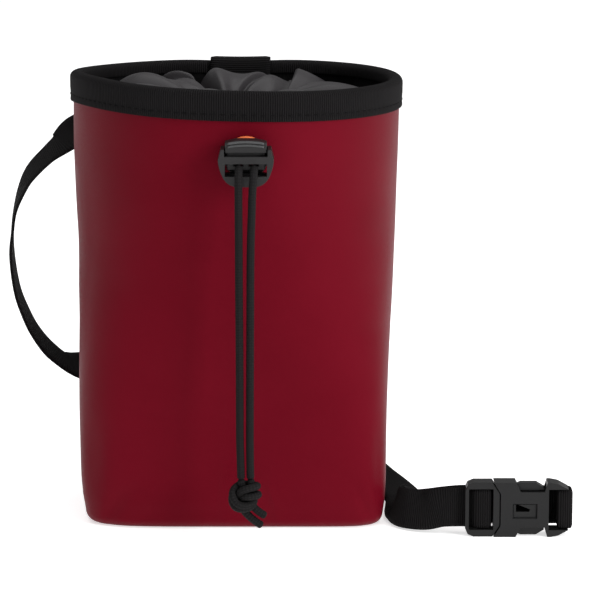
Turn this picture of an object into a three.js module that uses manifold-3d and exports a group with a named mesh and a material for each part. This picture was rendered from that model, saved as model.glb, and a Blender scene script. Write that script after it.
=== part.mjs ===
// A climbing chalk bag: a padded cloth body with a bound rim, a gathered closure collar,
// a drawcord with its cord lock, and a webbing waist belt closed by a side-release buckle.
// Millimetres, +Z up. The origin is on the floor under the rim's centre and the front faces -Y.

import * as THREE from "three";
import { mergeVertices } from "three/addons/utils/BufferGeometryUtils.js";
import Module from "manifold-3d";

const wasm = await Module();
wasm.setup();

// Body and rim
const bagHeight = 169.6;
const rimWidth = 128;
const rimDepth = 114;
const shellWall = 1.8;
const liningWall = 1;
const clothGap = 0.3;
const bottomRounding = 4.5;
const bindingWall = 0.9;
const bindingOutside = 11.1;
const bindingInside = 5;
const bindingCrown = 1.6;

// Closure collar
const collarDrop = 13;
const collarWall = 1;
const collarHole = 24;
const collarPuff = 11;
const gatherDepth = 1.6;
const gatherCount = 13;

// Webbing
const beltWidth = 15;
const webbingWall = 1.2;
const webbingGap = 0.4;
const strapWidth = 24;
const strapCentre = 0.6;
const strapDrop = 48.6;
const strapEnd = bagHeight - strapDrop;
const strapInsideDrop = 11;
const loopDrop = 27.1;
const loopHeight = bagHeight - loopDrop;
const loopRoom = 1.2;
const loopSlope = 4;

// Cord lock and drawcord
const lockWidth = 20.6;
const lockHeight = 14;
const lockDepth = 7.6;
const lockCentre = 4.6;
const lockDrop = 26.3;
const lockRise = bagHeight - lockDrop;
const windowWidth = 15.4;
const windowTop = 1.6;
const windowHeight = 4.6;
const capWidth = 15.4;
const capDepth = 5;
const capHeight = 4.7;
const capBottom = 5.5;
const mouthRoom = 0.3;
const mouthFront = 4.4;
const plateWidth = 14.2;
const plateDepth = 2.4;
const cordHoleWidth = 3.4;
const cordSpacing = 5.6;
const pinchBar = 1.5;
const pinchTop = 0.4;
const pressTravel = 2;
const eyeletWidth = 16.4;
const eyeletWall = 1.2;
const eyeletRise = 2.2;
const barrelWidth = 9;
const eyeletBore = 7.4;
const seatGap = 0.3;
const cordDiameter = 3;

// Buckle, measured from the left end of its frame
const buckleX = 87.1;
const buckleY = -48.5;
const buckleLength = 39.3;
const buckleHeight = 21.2;
const buckleDepth = 7.6;
const frameDepth = 6.4;
const slotHeight = 15.8;
const slotBarDepth = 2.2;
const frameBar = 1.4;
const maleBarStart = 4.8;
const maleBarWidth = 3.8;
const maleSlotEnd = 10.6;
const femaleStart = 13.4;
const endBarDepth = 2.8;
const endBarWidth = 3;
const femaleSlotStart = 31.6;
const buckleGap = 0.3;

const sidesAround = 48;
const turn = Math.PI * 2;
const degrees = Math.PI / 180;

// The body's outer section at each height. height is a share of bagHeight, width is a share of rimWidth
// and depth a share of rimDepth. middle is how far back the widest line lies as a share of rimDepth, and
// shift is how far right the section lies as a share of rimWidth. left, right and back are the squareness
// of the front left corner, the front right corner and the back: 2 for an ellipse, higher for a box.
const bodySections = [
  { height: 0.025, width: 0.9, depth: 0.722, middle: -0.13, left: 5, right: 9, back: 2.4, shift: -0.009 },
  { height: 0.06, width: 0.914, depth: 0.739, middle: -0.13, left: 4.8, right: 8.5, back: 2.4, shift: -0.009 },
  { height: 0.1, width: 0.921, depth: 0.748, middle: -0.125, left: 4.6, right: 7.5, back: 2.4, shift: -0.009 },
  { height: 0.27, width: 0.929, depth: 0.785, middle: -0.1, left: 3.8, right: 5, back: 2.4, shift: -0.008 },
  { height: 0.45, width: 0.937, depth: 0.839, middle: -0.06, left: 3.1, right: 3.3, back: 2.4, shift: -0.006 },
  { height: 0.55, width: 0.948, depth: 0.869, middle: -0.035, left: 2.75, right: 2.8, back: 2.35, shift: -0.004 },
  { height: 0.64, width: 0.957, depth: 0.898, middle: -0.015, left: 2.55, right: 2.55, back: 2.3, shift: -0.0025 },
  { height: 0.74, width: 0.969, depth: 0.93, middle: 0, left: 2.35, right: 2.35, back: 2.25, shift: -0.0018 },
  { height: 0.83, width: 0.976, depth: 0.954, middle: 0, left: 2.2, right: 2.2, back: 2.2, shift: -0.001 },
  { height: 0.93, width: 0.98, depth: 0.973, middle: 0, left: 2.1, right: 2.1, back: 2.2, shift: 0 },
  { height: 1, width: 0.982, depth: 0.979, middle: 0, left: 2.1, right: 2.1, back: 2.2, shift: 0.0005 },
];

// Creases and hollows of the cloth. angle runs around the section from +X towards +Y, lean is how
// far a crease turns per share of height, and depth is a share of bottomRounding.
const bodyDents = [
  { name: "left corner crease", angle: 236, lean: 200, height: 0.05, depth: 0.16, around: 7, along: 0.045 },
  { name: "right corner crease", angle: 306, lean: -220, height: 0.05, depth: 0.16, around: 7, along: 0.05 },
  { name: "left corner hollow", angle: 215, lean: 0, height: 0.16, depth: 0.2, around: 14, along: 0.1 },
  { name: "right corner hollow", angle: 327, lean: 0, height: 0.14, depth: 0.16, around: 12, along: 0.1 },
];

// How much longer the cloth is to the rim at some angles, as a share of its height. around is degrees.
const rimRises = [
  { name: "left side stands higher", angle: 206, around: 42, rise: 0.0195 },
  { name: "front bows up a little", angle: 265, around: 30, rise: 0.0044 },
  { name: "pressed down under the strap", angle: 89.6, around: 13, rise: -0.005 },
];

// Heights of the rounded bottom edge as shares of the rounding, then the walls' sampled heights.
const roundingShares = [0, 0.13, 0.5, 1];
const wallShares = [0.06, 0.14, 0.27, 0.45, 0.64, 0.83, 0.93];

function mixRows(low, high, share, key) {
  return low[key] + (high[key] - low[key]) * share;
}

function fromAngle(angle, centre) {
  return ((angle / degrees - centre + 540) % 360) - 180;
}

function rimRise(angle) {
  let rise = 0;
  for (const row of rimRises) rise += row.rise * Math.exp(-((fromAngle(angle, row.angle) / row.around) ** 2));
  return rise;
}

function sectionAt(height) {
  const lowest = bodySections[0];
  const highest = bodySections[bodySections.length - 1];
  const share = THREE.MathUtils.clamp(height / bagHeight, lowest.height, highest.height);
  const index = Math.max(1, bodySections.findIndex((row) => row.height >= share));
  const low = bodySections[index - 1];
  const high = bodySections[index];
  const between = (share - low.height) / (high.height - low.height);
  return {
    halfWidth: (mixRows(low, high, between, "width") * rimWidth) / 2,
    halfDepth: (mixRows(low, high, between, "depth") * rimDepth) / 2,
    middle: mixRows(low, high, between, "middle") * rimDepth,
    left: mixRows(low, high, between, "left"),
    right: mixRows(low, high, between, "right"),
    back: mixRows(low, high, between, "back"),
    shift: mixRows(low, high, between, "shift") * rimWidth,
  };
}

function dentAt(angle, height) {
  let depth = 0;
  for (const dent of bodyDents) {
    const rise = height / bagHeight - dent.height;
    const away = fromAngle(angle, dent.angle + dent.lean * rise) / dent.around;
    const above = rise / dent.along;
    depth += dent.depth * bottomRounding * Math.exp(-away * away - above * above);
  }
  return depth;
}

// A point of the body at an angle and a height, inset from the outer cloth by a distance.
function bagPoint(angle, height, inset) {
  const section = sectionAt(height);
  const rounding = THREE.MathUtils.clamp(bottomRounding - inset, 0, bottomRounding);
  const drop = THREE.MathUtils.clamp(bottomRounding - height, 0, rounding);
  const pulledIn = rounding - Math.sqrt(rounding * rounding - drop * drop);
  const around = (angle + turn) % turn;
  const inwards = inset + pulledIn + dentAt(around, height);
  const atBack = around < Math.PI;
  const squareness = atBack ? section.back : section[around < turn * 0.75 ? "left" : "right"];
  const reach = section.halfDepth + (atBack ? -section.middle : section.middle);
  const across = Math.cos(angle);
  const deep = Math.sin(angle);
  const x = (section.halfWidth - inwards) * Math.sign(across) * Math.abs(across) ** (2 / squareness);
  const y = (reach - inwards) * Math.sign(deep) * Math.abs(deep) ** (2 / squareness);
  return new THREE.Vector3(section.shift + x, section.middle + y, height * (1 + rimRise(around)));
}

function bagRing(height, inset) {
  const ring = [];
  for (let side = 0; side < sidesAround; side += 1) {
    ring.push(bagPoint((side / sidesAround) * turn, height, inset));
  }
  return ring;
}

// A closed solid through rings with equal numbers of points. Its ends are joined to each other,
// closed by fans, or closed by a strip between the ring's two halves.
function loft(rings, ends) {
  const count = rings[0].length;
  const points = rings.flat();
  const faces = [];
  const spans = ends === "joined" ? rings.length : rings.length - 1;
  for (let span = 0; span < spans; span += 1) {
    const here = span * count;
    const next = ((span + 1) % rings.length) * count;
    const falling = points[next].z < points[here].z;
    for (let side = 0; side < count; side += 1) {
      const beside = (side + 1) % count;
      // The quads of nested cloths and of a strip's two faces are split the same way, so they keep apart.
      const flipped = falling !== (ends === "strips" && side >= count / 2);
      const far = flipped ? next + side : next + beside;
      const near = flipped ? here + beside : here + side;
      faces.push(here + side, here + beside, far);
      faces.push(near, next + beside, next + side);
    }
  }
  if (ends === "fans") {
    for (const last of [false, true]) {
      const ring = last ? rings[rings.length - 1] : rings[0];
      const start = last ? (rings.length - 1) * count : 0;
      const middle = ring.reduce((sum, point) => sum.add(point), new THREE.Vector3());
      const centre = points.push(middle.divideScalar(count)) - 1;
      for (let side = 0; side < count; side += 1) {
        const pair = [start + side, start + ((side + 1) % count)];
        faces.push(centre, pair[last ? 0 : 1], pair[last ? 1 : 0]);
      }
    }
  }
  if (ends === "strips") {
    for (const last of [false, true]) {
      const start = last ? (rings.length - 1) * count : 0;
      for (let side = 0; side < count / 2 - 1; side += 1) {
        const corners = [side, side + 1, count - 2 - side, count - 1 - side].map((index) => start + index);
        const [a, b, c, d] = last ? corners : corners.reverse();
        faces.push(a, b, c, a, c, d);
      }
    }
  }
  return outwardGeometry(points, faces);
}

function outwardGeometry(points, faces) {
  let volume = 0;
  for (let face = 0; face < faces.length; face += 3) {
    const [a, b, c] = [faces[face], faces[face + 1], faces[face + 2]].map((index) => points[index]);
    volume += a.dot(new THREE.Vector3().crossVectors(b, c));
  }
  const order = volume < 0 ? [...faces].reverse() : faces;
  const geometry = new THREE.BufferGeometry();
  geometry.setAttribute("position", new THREE.Float32BufferAttribute(points.flatMap((point) => point.toArray()), 3));
  geometry.setIndex(order);
  return geometry;
}

// Joining and cutting of closed meshes
function solidOf(geometry) {
  const plain = geometry.clone();
  plain.deleteAttribute("normal");
  plain.deleteAttribute("uv");
  const merged = mergeVertices(plain);
  const mesh = new wasm.Mesh({
    numProp: 3,
    vertProperties: merged.attributes.position.array,
    triVerts: new Uint32Array(merged.index.array),
  });
  return new wasm.Manifold(mesh);
}

function geometryOf(solid) {
  const mesh = solid.getMesh();
  const geometry = new THREE.BufferGeometry();
  geometry.setAttribute("position", new THREE.Float32BufferAttribute(mesh.vertProperties, 3));
  geometry.setIndex(Array.from(mesh.triVerts));
  return geometry;
}

function cutAway(geometry, cutters) {
  return geometryOf(cutters.reduce((solid, cutter) => solid.subtract(solidOf(cutter)), solidOf(geometry)));
}

function joined(geometries) {
  const [first, ...others] = geometries.map(solidOf);
  return geometryOf(others.reduce((solid, other) => solid.add(other), first));
}

// A box between two values along each axis.
function boxBetween(x, y, z) {
  const geometry = new THREE.BoxGeometry(x[1] - x[0], y[1] - y[0], z[1] - z[0]);
  return geometry.translate((x[0] + x[1]) / 2, (y[0] + y[1]) / 2, (z[0] + z[1]) / 2);
}

// A plate with an outline in X and Z, centred on Y = 0.
function plate(outline, depth) {
  const geometry = new THREE.ExtrudeGeometry(outline, { depth, bevelEnabled: false, curveSegments: 4 });
  return geometry.rotateX(Math.PI / 2).translate(0, depth / 2, 0);
}

function outlineOf(corners) {
  return new THREE.Shape(corners.map(([x, z]) => new THREE.Vector2(x, z)));
}

function tube(route, diameter, steps, sides) {
  const section = new THREE.Shape();
  for (let side = 0; side < sides; side += 1) {
    const angle = (side / sides) * turn;
    const point = [(Math.cos(angle) * diameter) / 2, (Math.sin(angle) * diameter) / 2];
    if (side === 0) section.moveTo(...point);
    else section.lineTo(...point);
  }
  const extrudePath = new THREE.CatmullRomCurve3(route.map((point) => new THREE.Vector3(...point)));
  return new THREE.ExtrudeGeometry(section, { steps, extrudePath, bevelEnabled: false });
}

const bag = new THREE.Group();

function addPiece(parent, name, geometry, color, roughness, metalness = 0) {
  const piece = new THREE.Mesh(geometry, new THREE.MeshStandardMaterial({ color, roughness, metalness }));
  piece.name = name;
  parent.add(piece);
  return piece;
}

// The place of the cord lock: flat against the front wall, just under the rim
const wallTop = bagHeight - bindingWall - clothGap;
const frontAngle = turn * 0.75;
const lockLow = bagPoint(frontAngle, lockRise - eyeletWidth / 2, 0);
const lockHigh = bagPoint(frontAngle, lockRise + eyeletWidth / 2, 0);
const lockLean = Math.atan2(lockLow.y - lockHigh.y, lockHigh.z - lockLow.z);
const lockStandOff = seatGap + eyeletWall + seatGap + lockDepth / 2;
const lockGroup = new THREE.Group();
lockGroup.position.set(lockCentre, (lockLow.y + lockHigh.y) / 2 - lockStandOff, lockRise);
lockGroup.rotation.x = lockLean;
lockGroup.updateMatrixWorld();
bag.add(lockGroup);

const wallHoleCutter = new THREE.CylinderGeometry(barrelWidth / 2 + seatGap, barrelWidth / 2 + seatGap, 12, 24);
wallHoleCutter.translate(0, lockDepth / 2 + eyeletWall, eyeletRise).applyMatrix4(lockGroup.matrixWorld);

// Padded outer cloth and black lining, both open cups
function clothCup(outerInset, wall) {
  const innerInset = outerInset + wall;
  const rise = (inset, share) => inset + (bottomRounding - inset) * share;
  const rings = [];
  for (const share of roundingShares) rings.push(bagRing(rise(outerInset, share), outerInset));
  for (const share of wallShares) rings.push(bagRing(share * bagHeight, outerInset));
  rings.push(bagRing(wallTop, outerInset));
  rings.push(bagRing(wallTop, innerInset));
  for (const share of [...wallShares].reverse()) rings.push(bagRing(share * bagHeight, innerInset));
  for (const share of [...roundingShares].reverse()) rings.push(bagRing(rise(innerInset, share), innerInset));
  return loft(rings, "fans");
}

const liningInset = shellWall + clothGap;
const insideInset = liningInset + liningWall;
addPiece(bag, "bag_shell", cutAway(clothCup(0, shellWall), [wallHoleCutter]), 0x7a0f20, 0.45);
addPiece(bag, "inner_lining", cutAway(clothCup(liningInset, liningWall), [wallHoleCutter]), 0x121113, 0.9);

// Binding tape folded over the rim
function rimBinding() {
  const outer = -clothGap - bindingWall;
  const inner = insideInset + clothGap + bindingWall;
  const middle = (outer + inner) / 2;
  const profile = [
    { inset: outer, height: bagHeight - bindingOutside },
    { inset: outer, height: bagHeight - bindingCrown },
    { inset: outer + bindingWall, height: bagHeight - bindingCrown / 4 },
    { inset: middle, height: bagHeight },
    { inset: inner - bindingWall, height: bagHeight - bindingCrown / 4 },
    { inset: inner, height: bagHeight - bindingCrown },
    { inset: inner, height: bagHeight - bindingInside },
    { inset: inner - bindingWall, height: bagHeight - bindingInside },
    { inset: inner - bindingWall, height: bagHeight - bindingWall },
    { inset: outer + bindingWall, height: bagHeight - bindingWall },
    { inset: outer + bindingWall, height: bagHeight - bindingOutside },
  ];
  const rings = [];
  for (let side = 0; side < sidesAround; side += 1) {
    const angle = (side / sidesAround) * turn;
    rings.push(profile.map((point) => bagPoint(angle, point.height, point.inset)));
  }
  return loft(rings, "joined");
}

addPiece(bag, "rim_binding", rimBinding(), 0x161415, 0.85);

// Nylon collar sewn inside the rim and drawn together round a small hole. angle and wide are degrees
// round the mouth, rise is a share of collarPuff, and reach is where the fold peaks, from the wall to the hole.
const collarFolds = [
  { name: "right slope", angle: 22, wide: 26, rise: 0.15, reach: 0.4 },
  { name: "right mound", angle: 66, wide: 18, rise: 0.5, reach: 0.42 },
  { name: "centre mound", angle: 102, wide: 12, rise: 0.42, reach: 0.45 },
  { name: "pleat", angle: 124, wide: 6, rise: 0.5, reach: 0.45 },
  { name: "left mound", angle: 156, wide: 14, rise: 0.42, reach: 0.4 },
  { name: "front left mound", angle: 205, wide: 17, rise: 0.3, reach: 0.45 },
  { name: "front mound", angle: 258, wide: 15, rise: 0.35, reach: 0.45 },
  { name: "front right mound", angle: 308, wide: 16, rise: 0.3, reach: 0.45 },
];
const collarAngles = 48;
const collarRows = 7;

function collarHeight(angle, share) {
  const level = bagHeight - collarDrop;
  const dome = collarPuff * 0.45 * Math.sin(Math.PI * Math.min(share, 0.95));
  let folds = 0;
  for (const fold of collarFolds) {
    const across = Math.exp(-((fromAngle(angle, fold.angle) / fold.wide) ** 2));
    const along = Math.sin(Math.PI * Math.min(share / (2 * fold.reach), 1));
    folds += fold.rise * collarPuff * across * along;
  }
  const gathers = gatherDepth * share * share * Math.cos(gatherCount * angle + share);
  const tilt = level * rimRise(angle) * (1 - share);
  return level + dome + folds + gathers + tilt;
}

function closureCollar() {
  const edgeInset = insideInset + clothGap;
  const rings = [];
  for (let step = 0; step < collarAngles; step += 1) {
    const angle = (step / collarAngles) * turn;
    const wall = bagPoint(angle, bagHeight - collarDrop, edgeInset);
    const hole = new THREE.Vector3(Math.cos(angle), Math.sin(angle), 0).multiplyScalar(collarHole / 2);
    const top = [];
    const bottom = [];
    for (let row = 0; row < collarRows; row += 1) {
      const share = row / (collarRows - 1);
      const point = new THREE.Vector3().lerpVectors(wall, hole, share);
      point.z = collarHeight(angle, share);
      top.push(point);
      bottom.unshift(point.clone().setZ(point.z - collarWall));
    }
    rings.push([...top, ...bottom]);
  }
  return loft(rings, "joined");
}

addPiece(bag, "closure_collar", closureCollar(), 0x423d41, 0.4);

// Webbing strip folded over the back of the rim and sewn down the back, with a loop for the belt
const strapStations = 6;

function backAngle(x, point) {
  const section = sectionAt(point.height);
  const share = (x - section.shift) / (section.halfWidth - point.inset);
  return Math.acos(Math.sign(share) * Math.abs(share) ** (section.back / 2));
}

function backStrap() {
  const outside = -clothGap - bindingWall - clothGap;
  const inside = insideInset + clothGap + bindingWall + clothGap;
  const flat = -clothGap;
  const loopOut = -clothGap - webbingGap - webbingWall - loopRoom;
  const loopTop = loopHeight + beltWidth / 2 + webbingGap * 2;
  const loopBottom = loopHeight - beltWidth / 2 - webbingGap * 2;
  const crownRise = bagHeight + clothGap;
  const nearFace = [
    { inset: inside, height: bagHeight - strapInsideDrop },
    { inset: inside, height: bagHeight - bindingCrown / 2 },
    { inset: inside - bindingWall, height: crownRise },
    { inset: outside + bindingWall, height: crownRise },
    { inset: outside, height: bagHeight - bindingCrown / 2 },
    { inset: outside, height: bagHeight - bindingOutside - clothGap },
    { inset: loopOut, height: loopTop },
    { inset: loopOut, height: loopBottom },
    { inset: flat, height: loopBottom - loopSlope },
    { inset: flat, height: strapEnd },
  ];
  const farFace = nearFace.map((point, index) => {
    if (index === 0 || index === 1) return { inset: point.inset + webbingWall, height: point.height };
    if (index === 2) return { inset: inside, height: crownRise + webbingWall };
    if (index === 3) return { inset: outside, height: crownRise + webbingWall };
    return { inset: point.inset - webbingWall, height: point.height };
  });
  const outlineRing = [...nearFace, ...farFace.reverse()];
  const rings = [];
  for (let step = 0; step <= strapStations; step += 1) {
    const x = strapCentre + strapWidth * (step / strapStations - 0.5);
    rings.push(outlineRing.map((point) => bagPoint(backAngle(x, point), point.height, point.inset)));
  }
  return loft(rings, "strips");
}

addPiece(bag, "back_strap", backStrap(), 0x141112, 0.85);

// Side-release buckle, fastened, standing on its long edge on the floor
const buckleGroup = new THREE.Group();
buckleGroup.position.set(buckleX, buckleY, buckleHeight / 2);
bag.add(buckleGroup);

const halfBuckle = buckleHeight / 2;
const armHeight = 3;
const armOut = halfBuckle - 1.4;
const armStart = maleSlotEnd + 1;
const armEnd = 30;
const armDepth = 3.6;
const armSpread = 0.9;

function buckleMale() {
  const corner = 3.2;
  const outline = outlineOf([
    [0, -halfBuckle + corner],
    [corner * 0.3, -halfBuckle + corner * 0.3],
    [corner, -halfBuckle],
    [femaleStart - 3.1, -halfBuckle],
    [femaleStart - buckleGap, -halfBuckle * 0.58],
    [femaleStart - buckleGap, halfBuckle * 0.58],
    [femaleStart - 3.1, halfBuckle],
    [corner, halfBuckle],
    [corner * 0.3, halfBuckle - corner * 0.3],
    [0, halfBuckle - corner],
  ]);
  const slotHalf = slotHeight / 2;
  const slot = boxBetween([frameBar, maleSlotEnd], [-buckleDepth, buckleDepth], [-slotHalf, slotHalf]);
  const behindFrameBar = boxBetween([-1, frameBar + 1], [-buckleGap * 2, buckleDepth], [-slotHalf, slotHalf]);
  const frame = cutAway(plate(outline, frameDepth), [slot, behindFrameBar]);
  const bar = boxBetween(
    [maleBarStart, maleBarStart + maleBarWidth],
    [-slotBarDepth / 2, slotBarDepth / 2],
    [-slotHalf - 1, slotHalf + 1],
  );
  const arms = [-1, 1].map((side) => {
    const outer = side * armOut;
    const inner = side * (armOut - armHeight);
    const spread = side * armSpread;
    const arm = outlineOf([
      [armStart, inner],
      [armEnd - 9, inner + spread],
      [armEnd, inner + spread],
      [armEnd, outer - side],
      [armEnd - 3, outer + spread],
      [armEnd - 9, outer + spread],
      [armEnd - 11, outer],
      [armStart, outer],
    ]);
    return plate(arm, armDepth);
  });
  return joined([frame, bar, ...arms]);
}

function buckleFemale() {
  const end = buckleLength - endBarWidth;
  const outline = outlineOf([
    [femaleStart - 2.6, -halfBuckle],
    [18.6, -halfBuckle],
    [end - 4, -halfBuckle],
    [end - 1, -halfBuckle + 0.6],
    [buckleLength, -halfBuckle + 2.8],
    [buckleLength, halfBuckle - 2.8],
    [end - 1, halfBuckle - 0.6],
    [end - 4, halfBuckle],
    [18.6, halfBuckle],
    [femaleStart - 2.6, halfBuckle],
    [femaleStart, halfBuckle * 0.58],
    [femaleStart, -halfBuckle * 0.58],
  ]);
  const slotHalf = slotHeight / 2;
  const cavityHalf = armOut + buckleGap;
  const cavityDepth = armDepth / 2 + buckleGap;
  const cutters = [
    boxBetween([femaleSlotStart, end], [-buckleDepth, buckleDepth], [-slotHalf, slotHalf]),
    boxBetween([end - 1, buckleLength + 1], [-buckleDepth, -endBarDepth / 2], [-slotHalf, slotHalf]),
    boxBetween([end - 1, buckleLength + 1], [endBarDepth / 2, buckleDepth], [-slotHalf, slotHalf]),
  ];
  for (const side of [-1, 1]) {
    const inner = side * (armOut - armHeight - buckleGap);
    const outer = side * cavityHalf;
    const zRange = [Math.min(inner, outer), Math.max(inner, outer)];
    cutters.push(boxBetween([femaleStart - 4, armEnd + 1], [-cavityDepth, cavityDepth], zRange));
    const windowOutline = outlineOf([
      [18.6, side * (halfBuckle + 1)],
      [21, side * 6.9],
      [30, side * 6.9],
      [31.4, side * (halfBuckle + 1)],
    ]);
    cutters.push(plate(windowOutline, buckleDepth + 1));
  }
  const throughHole = outlineOf([
    [19.2, 1.9],
    [19.9, 1.9],
    [24.6, 0],
    [24.2, -0.9],
    [19.2, -0.9],
  ]);
  cutters.push(plate(throughHole, buckleDepth + 1));
  return cutAway(plate(outline, buckleDepth), cutters);
}

addPiece(buckleGroup, "buckle_male", buckleMale(), 0x1b1b1b, 0.5);
addPiece(buckleGroup, "buckle_female", buckleFemale(), 0x1b1b1b, 0.5);

// Waist belt: one length of webbing from its free end behind the male bar, along the floor beside the
// bag, up its back and through the strap's loop, out to the left, across the back again, under its
// first strand and round the female end bar.
// A buckle row is along, behind and above the buckle's left end. A bag row is an angle, a share of
// bagHeight and a stand-off from the cloth. face is the way that the webbing's marked face looks.
const wrap = seatGap + webbingWall / 2;
const maleBarHalf = slotBarDepth / 2;
const maleWrap = maleBarHalf + wrap;
const maleBarEnd = maleBarStart + maleBarWidth;
const layer = webbingWall + seatGap;
const bandBehind = webbingWall / 2 - buckleGap / 2;
const endBarHalf = endBarDepth / 2;
const endWrap = endBarHalf + wrap;
const behindBuckle = buckleDepth / 2 + webbingGap + webbingWall / 2;
const endBarStart = buckleLength - endBarWidth;
const maleRows = [
  { along: -13.2, behind: bandBehind + layer + 3.7, above: -2.2, face: [0.2, 0.92, -0.25] },
  { along: -8.7, behind: bandBehind + layer + 1.9, above: -0.9, face: [0.2, 1, -0.15] },
  { along: -2, behind: bandBehind + layer, above: 0, face: [0, 1, 0] },
  { along: 4, behind: maleWrap, above: 0, face: [0, 1, 0] },
  { along: maleBarEnd - wrap * 0.2, behind: maleWrap, above: 0, face: [0, 1, 0] },
  { along: maleBarEnd + wrap * 0.8, behind: maleBarHalf + wrap * 0.6, above: 0, face: [1, 0.9, 0] },
  { along: maleBarEnd + wrap, behind: 0, above: 0, face: [1, 0, 0] },
  { along: maleBarEnd + wrap * 0.8, behind: -maleBarHalf - wrap * 0.6, above: 0, face: [1, -0.9, 0] },
  { along: maleBarEnd - wrap * 0.2, behind: -maleWrap, above: 0, face: [0, -1, 0] },
  { along: maleBarStart + 0.4, behind: -maleWrap, above: 0, face: [0, -1, 0] },
  { along: maleBarStart - 1, behind: -maleWrap * 0.74, above: 0, face: [-0.5, -1, 0] },
  { along: frameBar + 0.8, behind: 0, above: 0, face: [-0.6, -1, 0] },
  { along: 0.4, behind: bandBehind, above: 0, face: [-0.1, -1, 0] },
  { along: -4, behind: bandBehind, above: 0, face: [0, -1, 0] },
  { along: -9, behind: bandBehind + 1.3, above: -0.4, face: [-0.2, -1, 0.15] },
  { along: -15, behind: bandBehind + 3.8, above: -2.2, face: [-0.3, -0.9, 0.3] },
];

// Two strands share this way from the buckle to the back: the second one lies under the first.
const strandSpacing = webbingWall + webbingGap * 2;
const sharedRows = [
  { angle: -14.6, height: 0.0478, standOff: 8.1, face: [-0.65, -0.75, 0.2] },
  { angle: -9.1, height: 0.0478, standOff: 4.6, face: [-0.93, -0.3, 0.2] },
  { angle: -1.9, height: 0.0472, standOff: 4.4, face: [-0.85, 0.1, 0.45] },
  { angle: -0.1, height: 0.0389, standOff: 6.4, face: [-0.6, 0.15, 0.78] },
  { angle: 0.8, height: 0.0277, standOff: 8.7, face: [-0.25, 0.05, 0.97] },
  { angle: 6.6, height: 0.0212, standOff: 9.6, face: [0, 0, 1] },
  { angle: 14.8, height: 0.02, standOff: 9.1, face: [0, 0, 1] },
  { angle: 23.1, height: 0.0225, standOff: 8.1, face: [-0.08, -0.08, 1] },
  { angle: 32.2, height: 0.0285, standOff: 7.1, face: [-0.2, -0.22, 0.95] },
  { angle: 40.5, height: 0.0448, standOff: 5.7, face: [-0.34, -0.45, 0.82] },
  { angle: 47.8, height: 0.0767, standOff: 3.9, face: [-0.46, -0.68, 0.57] },
  { angle: 53, height: 0.1209, standOff: 2.6, face: [-0.42, -0.85, 0.3] },
];

const backAndLeftRows = [
  { angle: 57.1, height: 0.183, standOff: 1.6, face: [-0.3, -0.95, 0.05] },
  { angle: 62.6, height: 0.313, standOff: 1.4, face: [-0.25, -0.97, 0] },
  { angle: 64, height: 0.46, standOff: 1.4, face: [-0.22, -0.98, 0] },
  { angle: 65, height: 0.608, standOff: 1.4, face: [-0.25, -0.97, 0] },
  { angle: 65.5, height: 0.76, standOff: 2, face: [-0.35, -0.95, 0] },
  { angle: 71.5, height: 0.828, standOff: 1.5, face: [-0.2, -1, 0] },
  { angle: 79.5, height: loopHeight / bagHeight, standOff: 1.4, face: [-0.1, -1, 0] },
  { angle: 89.6, height: loopHeight / bagHeight, standOff: 1.4, face: [0, -1, 0] },
  { angle: 99.3, height: loopHeight / bagHeight, standOff: 1.4, face: [0.1, -1, 0] },
  { angle: 118.7, height: 0.844, standOff: 1.6, face: [0.4, -0.9, 0] },
  { angle: 138.3, height: 0.848, standOff: 2.6, face: [0.35, -0.88, 0.25] },
  { angle: 152.5, height: 0.844, standOff: 6.6, face: [0.1, -0.85, 0.45] },
  { angle: 162.8, height: 0.826, standOff: 8.4, face: [-0.36, -0.56, 0.75] },
  { angle: 165, height: 0.799, standOff: 13.8, face: [-0.57, -0.39, 0.72] },
  { angle: 166.8, height: 0.75, standOff: 21.6, face: [-0.81, -0.32, 0.48] },
  { angle: 167.3, height: 0.711, standOff: 25.2, face: [-0.89, -0.22, 0.39] },
  { angle: 167.5, height: 0.665, standOff: 28.1, face: [-0.95, -0.1, 0.3] },
  { angle: 167.3, height: 0.618, standOff: 29.6, face: [-0.98, -0.08, 0.17] },
  { angle: 166.9, height: 0.566, standOff: 30.4, face: [-1, -0.01, -0.05] },
  { angle: 165.6, height: 0.477, standOff: 29.2, face: [-0.98, 0.04, -0.2] },
  { angle: 164.4, height: 0.43, standOff: 27, face: [-0.94, 0.08, -0.34] },
  { angle: 162.8, height: 0.382, standOff: 23.6, face: [-0.85, 0.12, -0.5] },
  { angle: 160.3, height: 0.334, standOff: 18, face: [-0.7, 0.18, -0.69] },
  { angle: 157.1, height: 0.302, standOff: 11.4, face: [-0.62, 0.22, -0.75] },
  { angle: 141.8, height: 0.274, standOff: 10.8, face: [-0.5, 0.6, -0.6] },
  { angle: 131.8, height: 0.256, standOff: 3.6, face: [-0.5, 0.85, -0.25] },
  { angle: 110.4, height: 0.242, standOff: 3.2, face: [-0.2, 0.98, 0] },
  { angle: 92.1, height: 0.216, standOff: 3.2, face: [0, 1, 0] },
  { angle: 78.7, height: 0.18, standOff: 3.2, face: [0.1, 1, 0] },
  { angle: 63.3, height: 0.133, standOff: 3.6, face: [0.4, 0.9, -0.1] },
];

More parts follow.
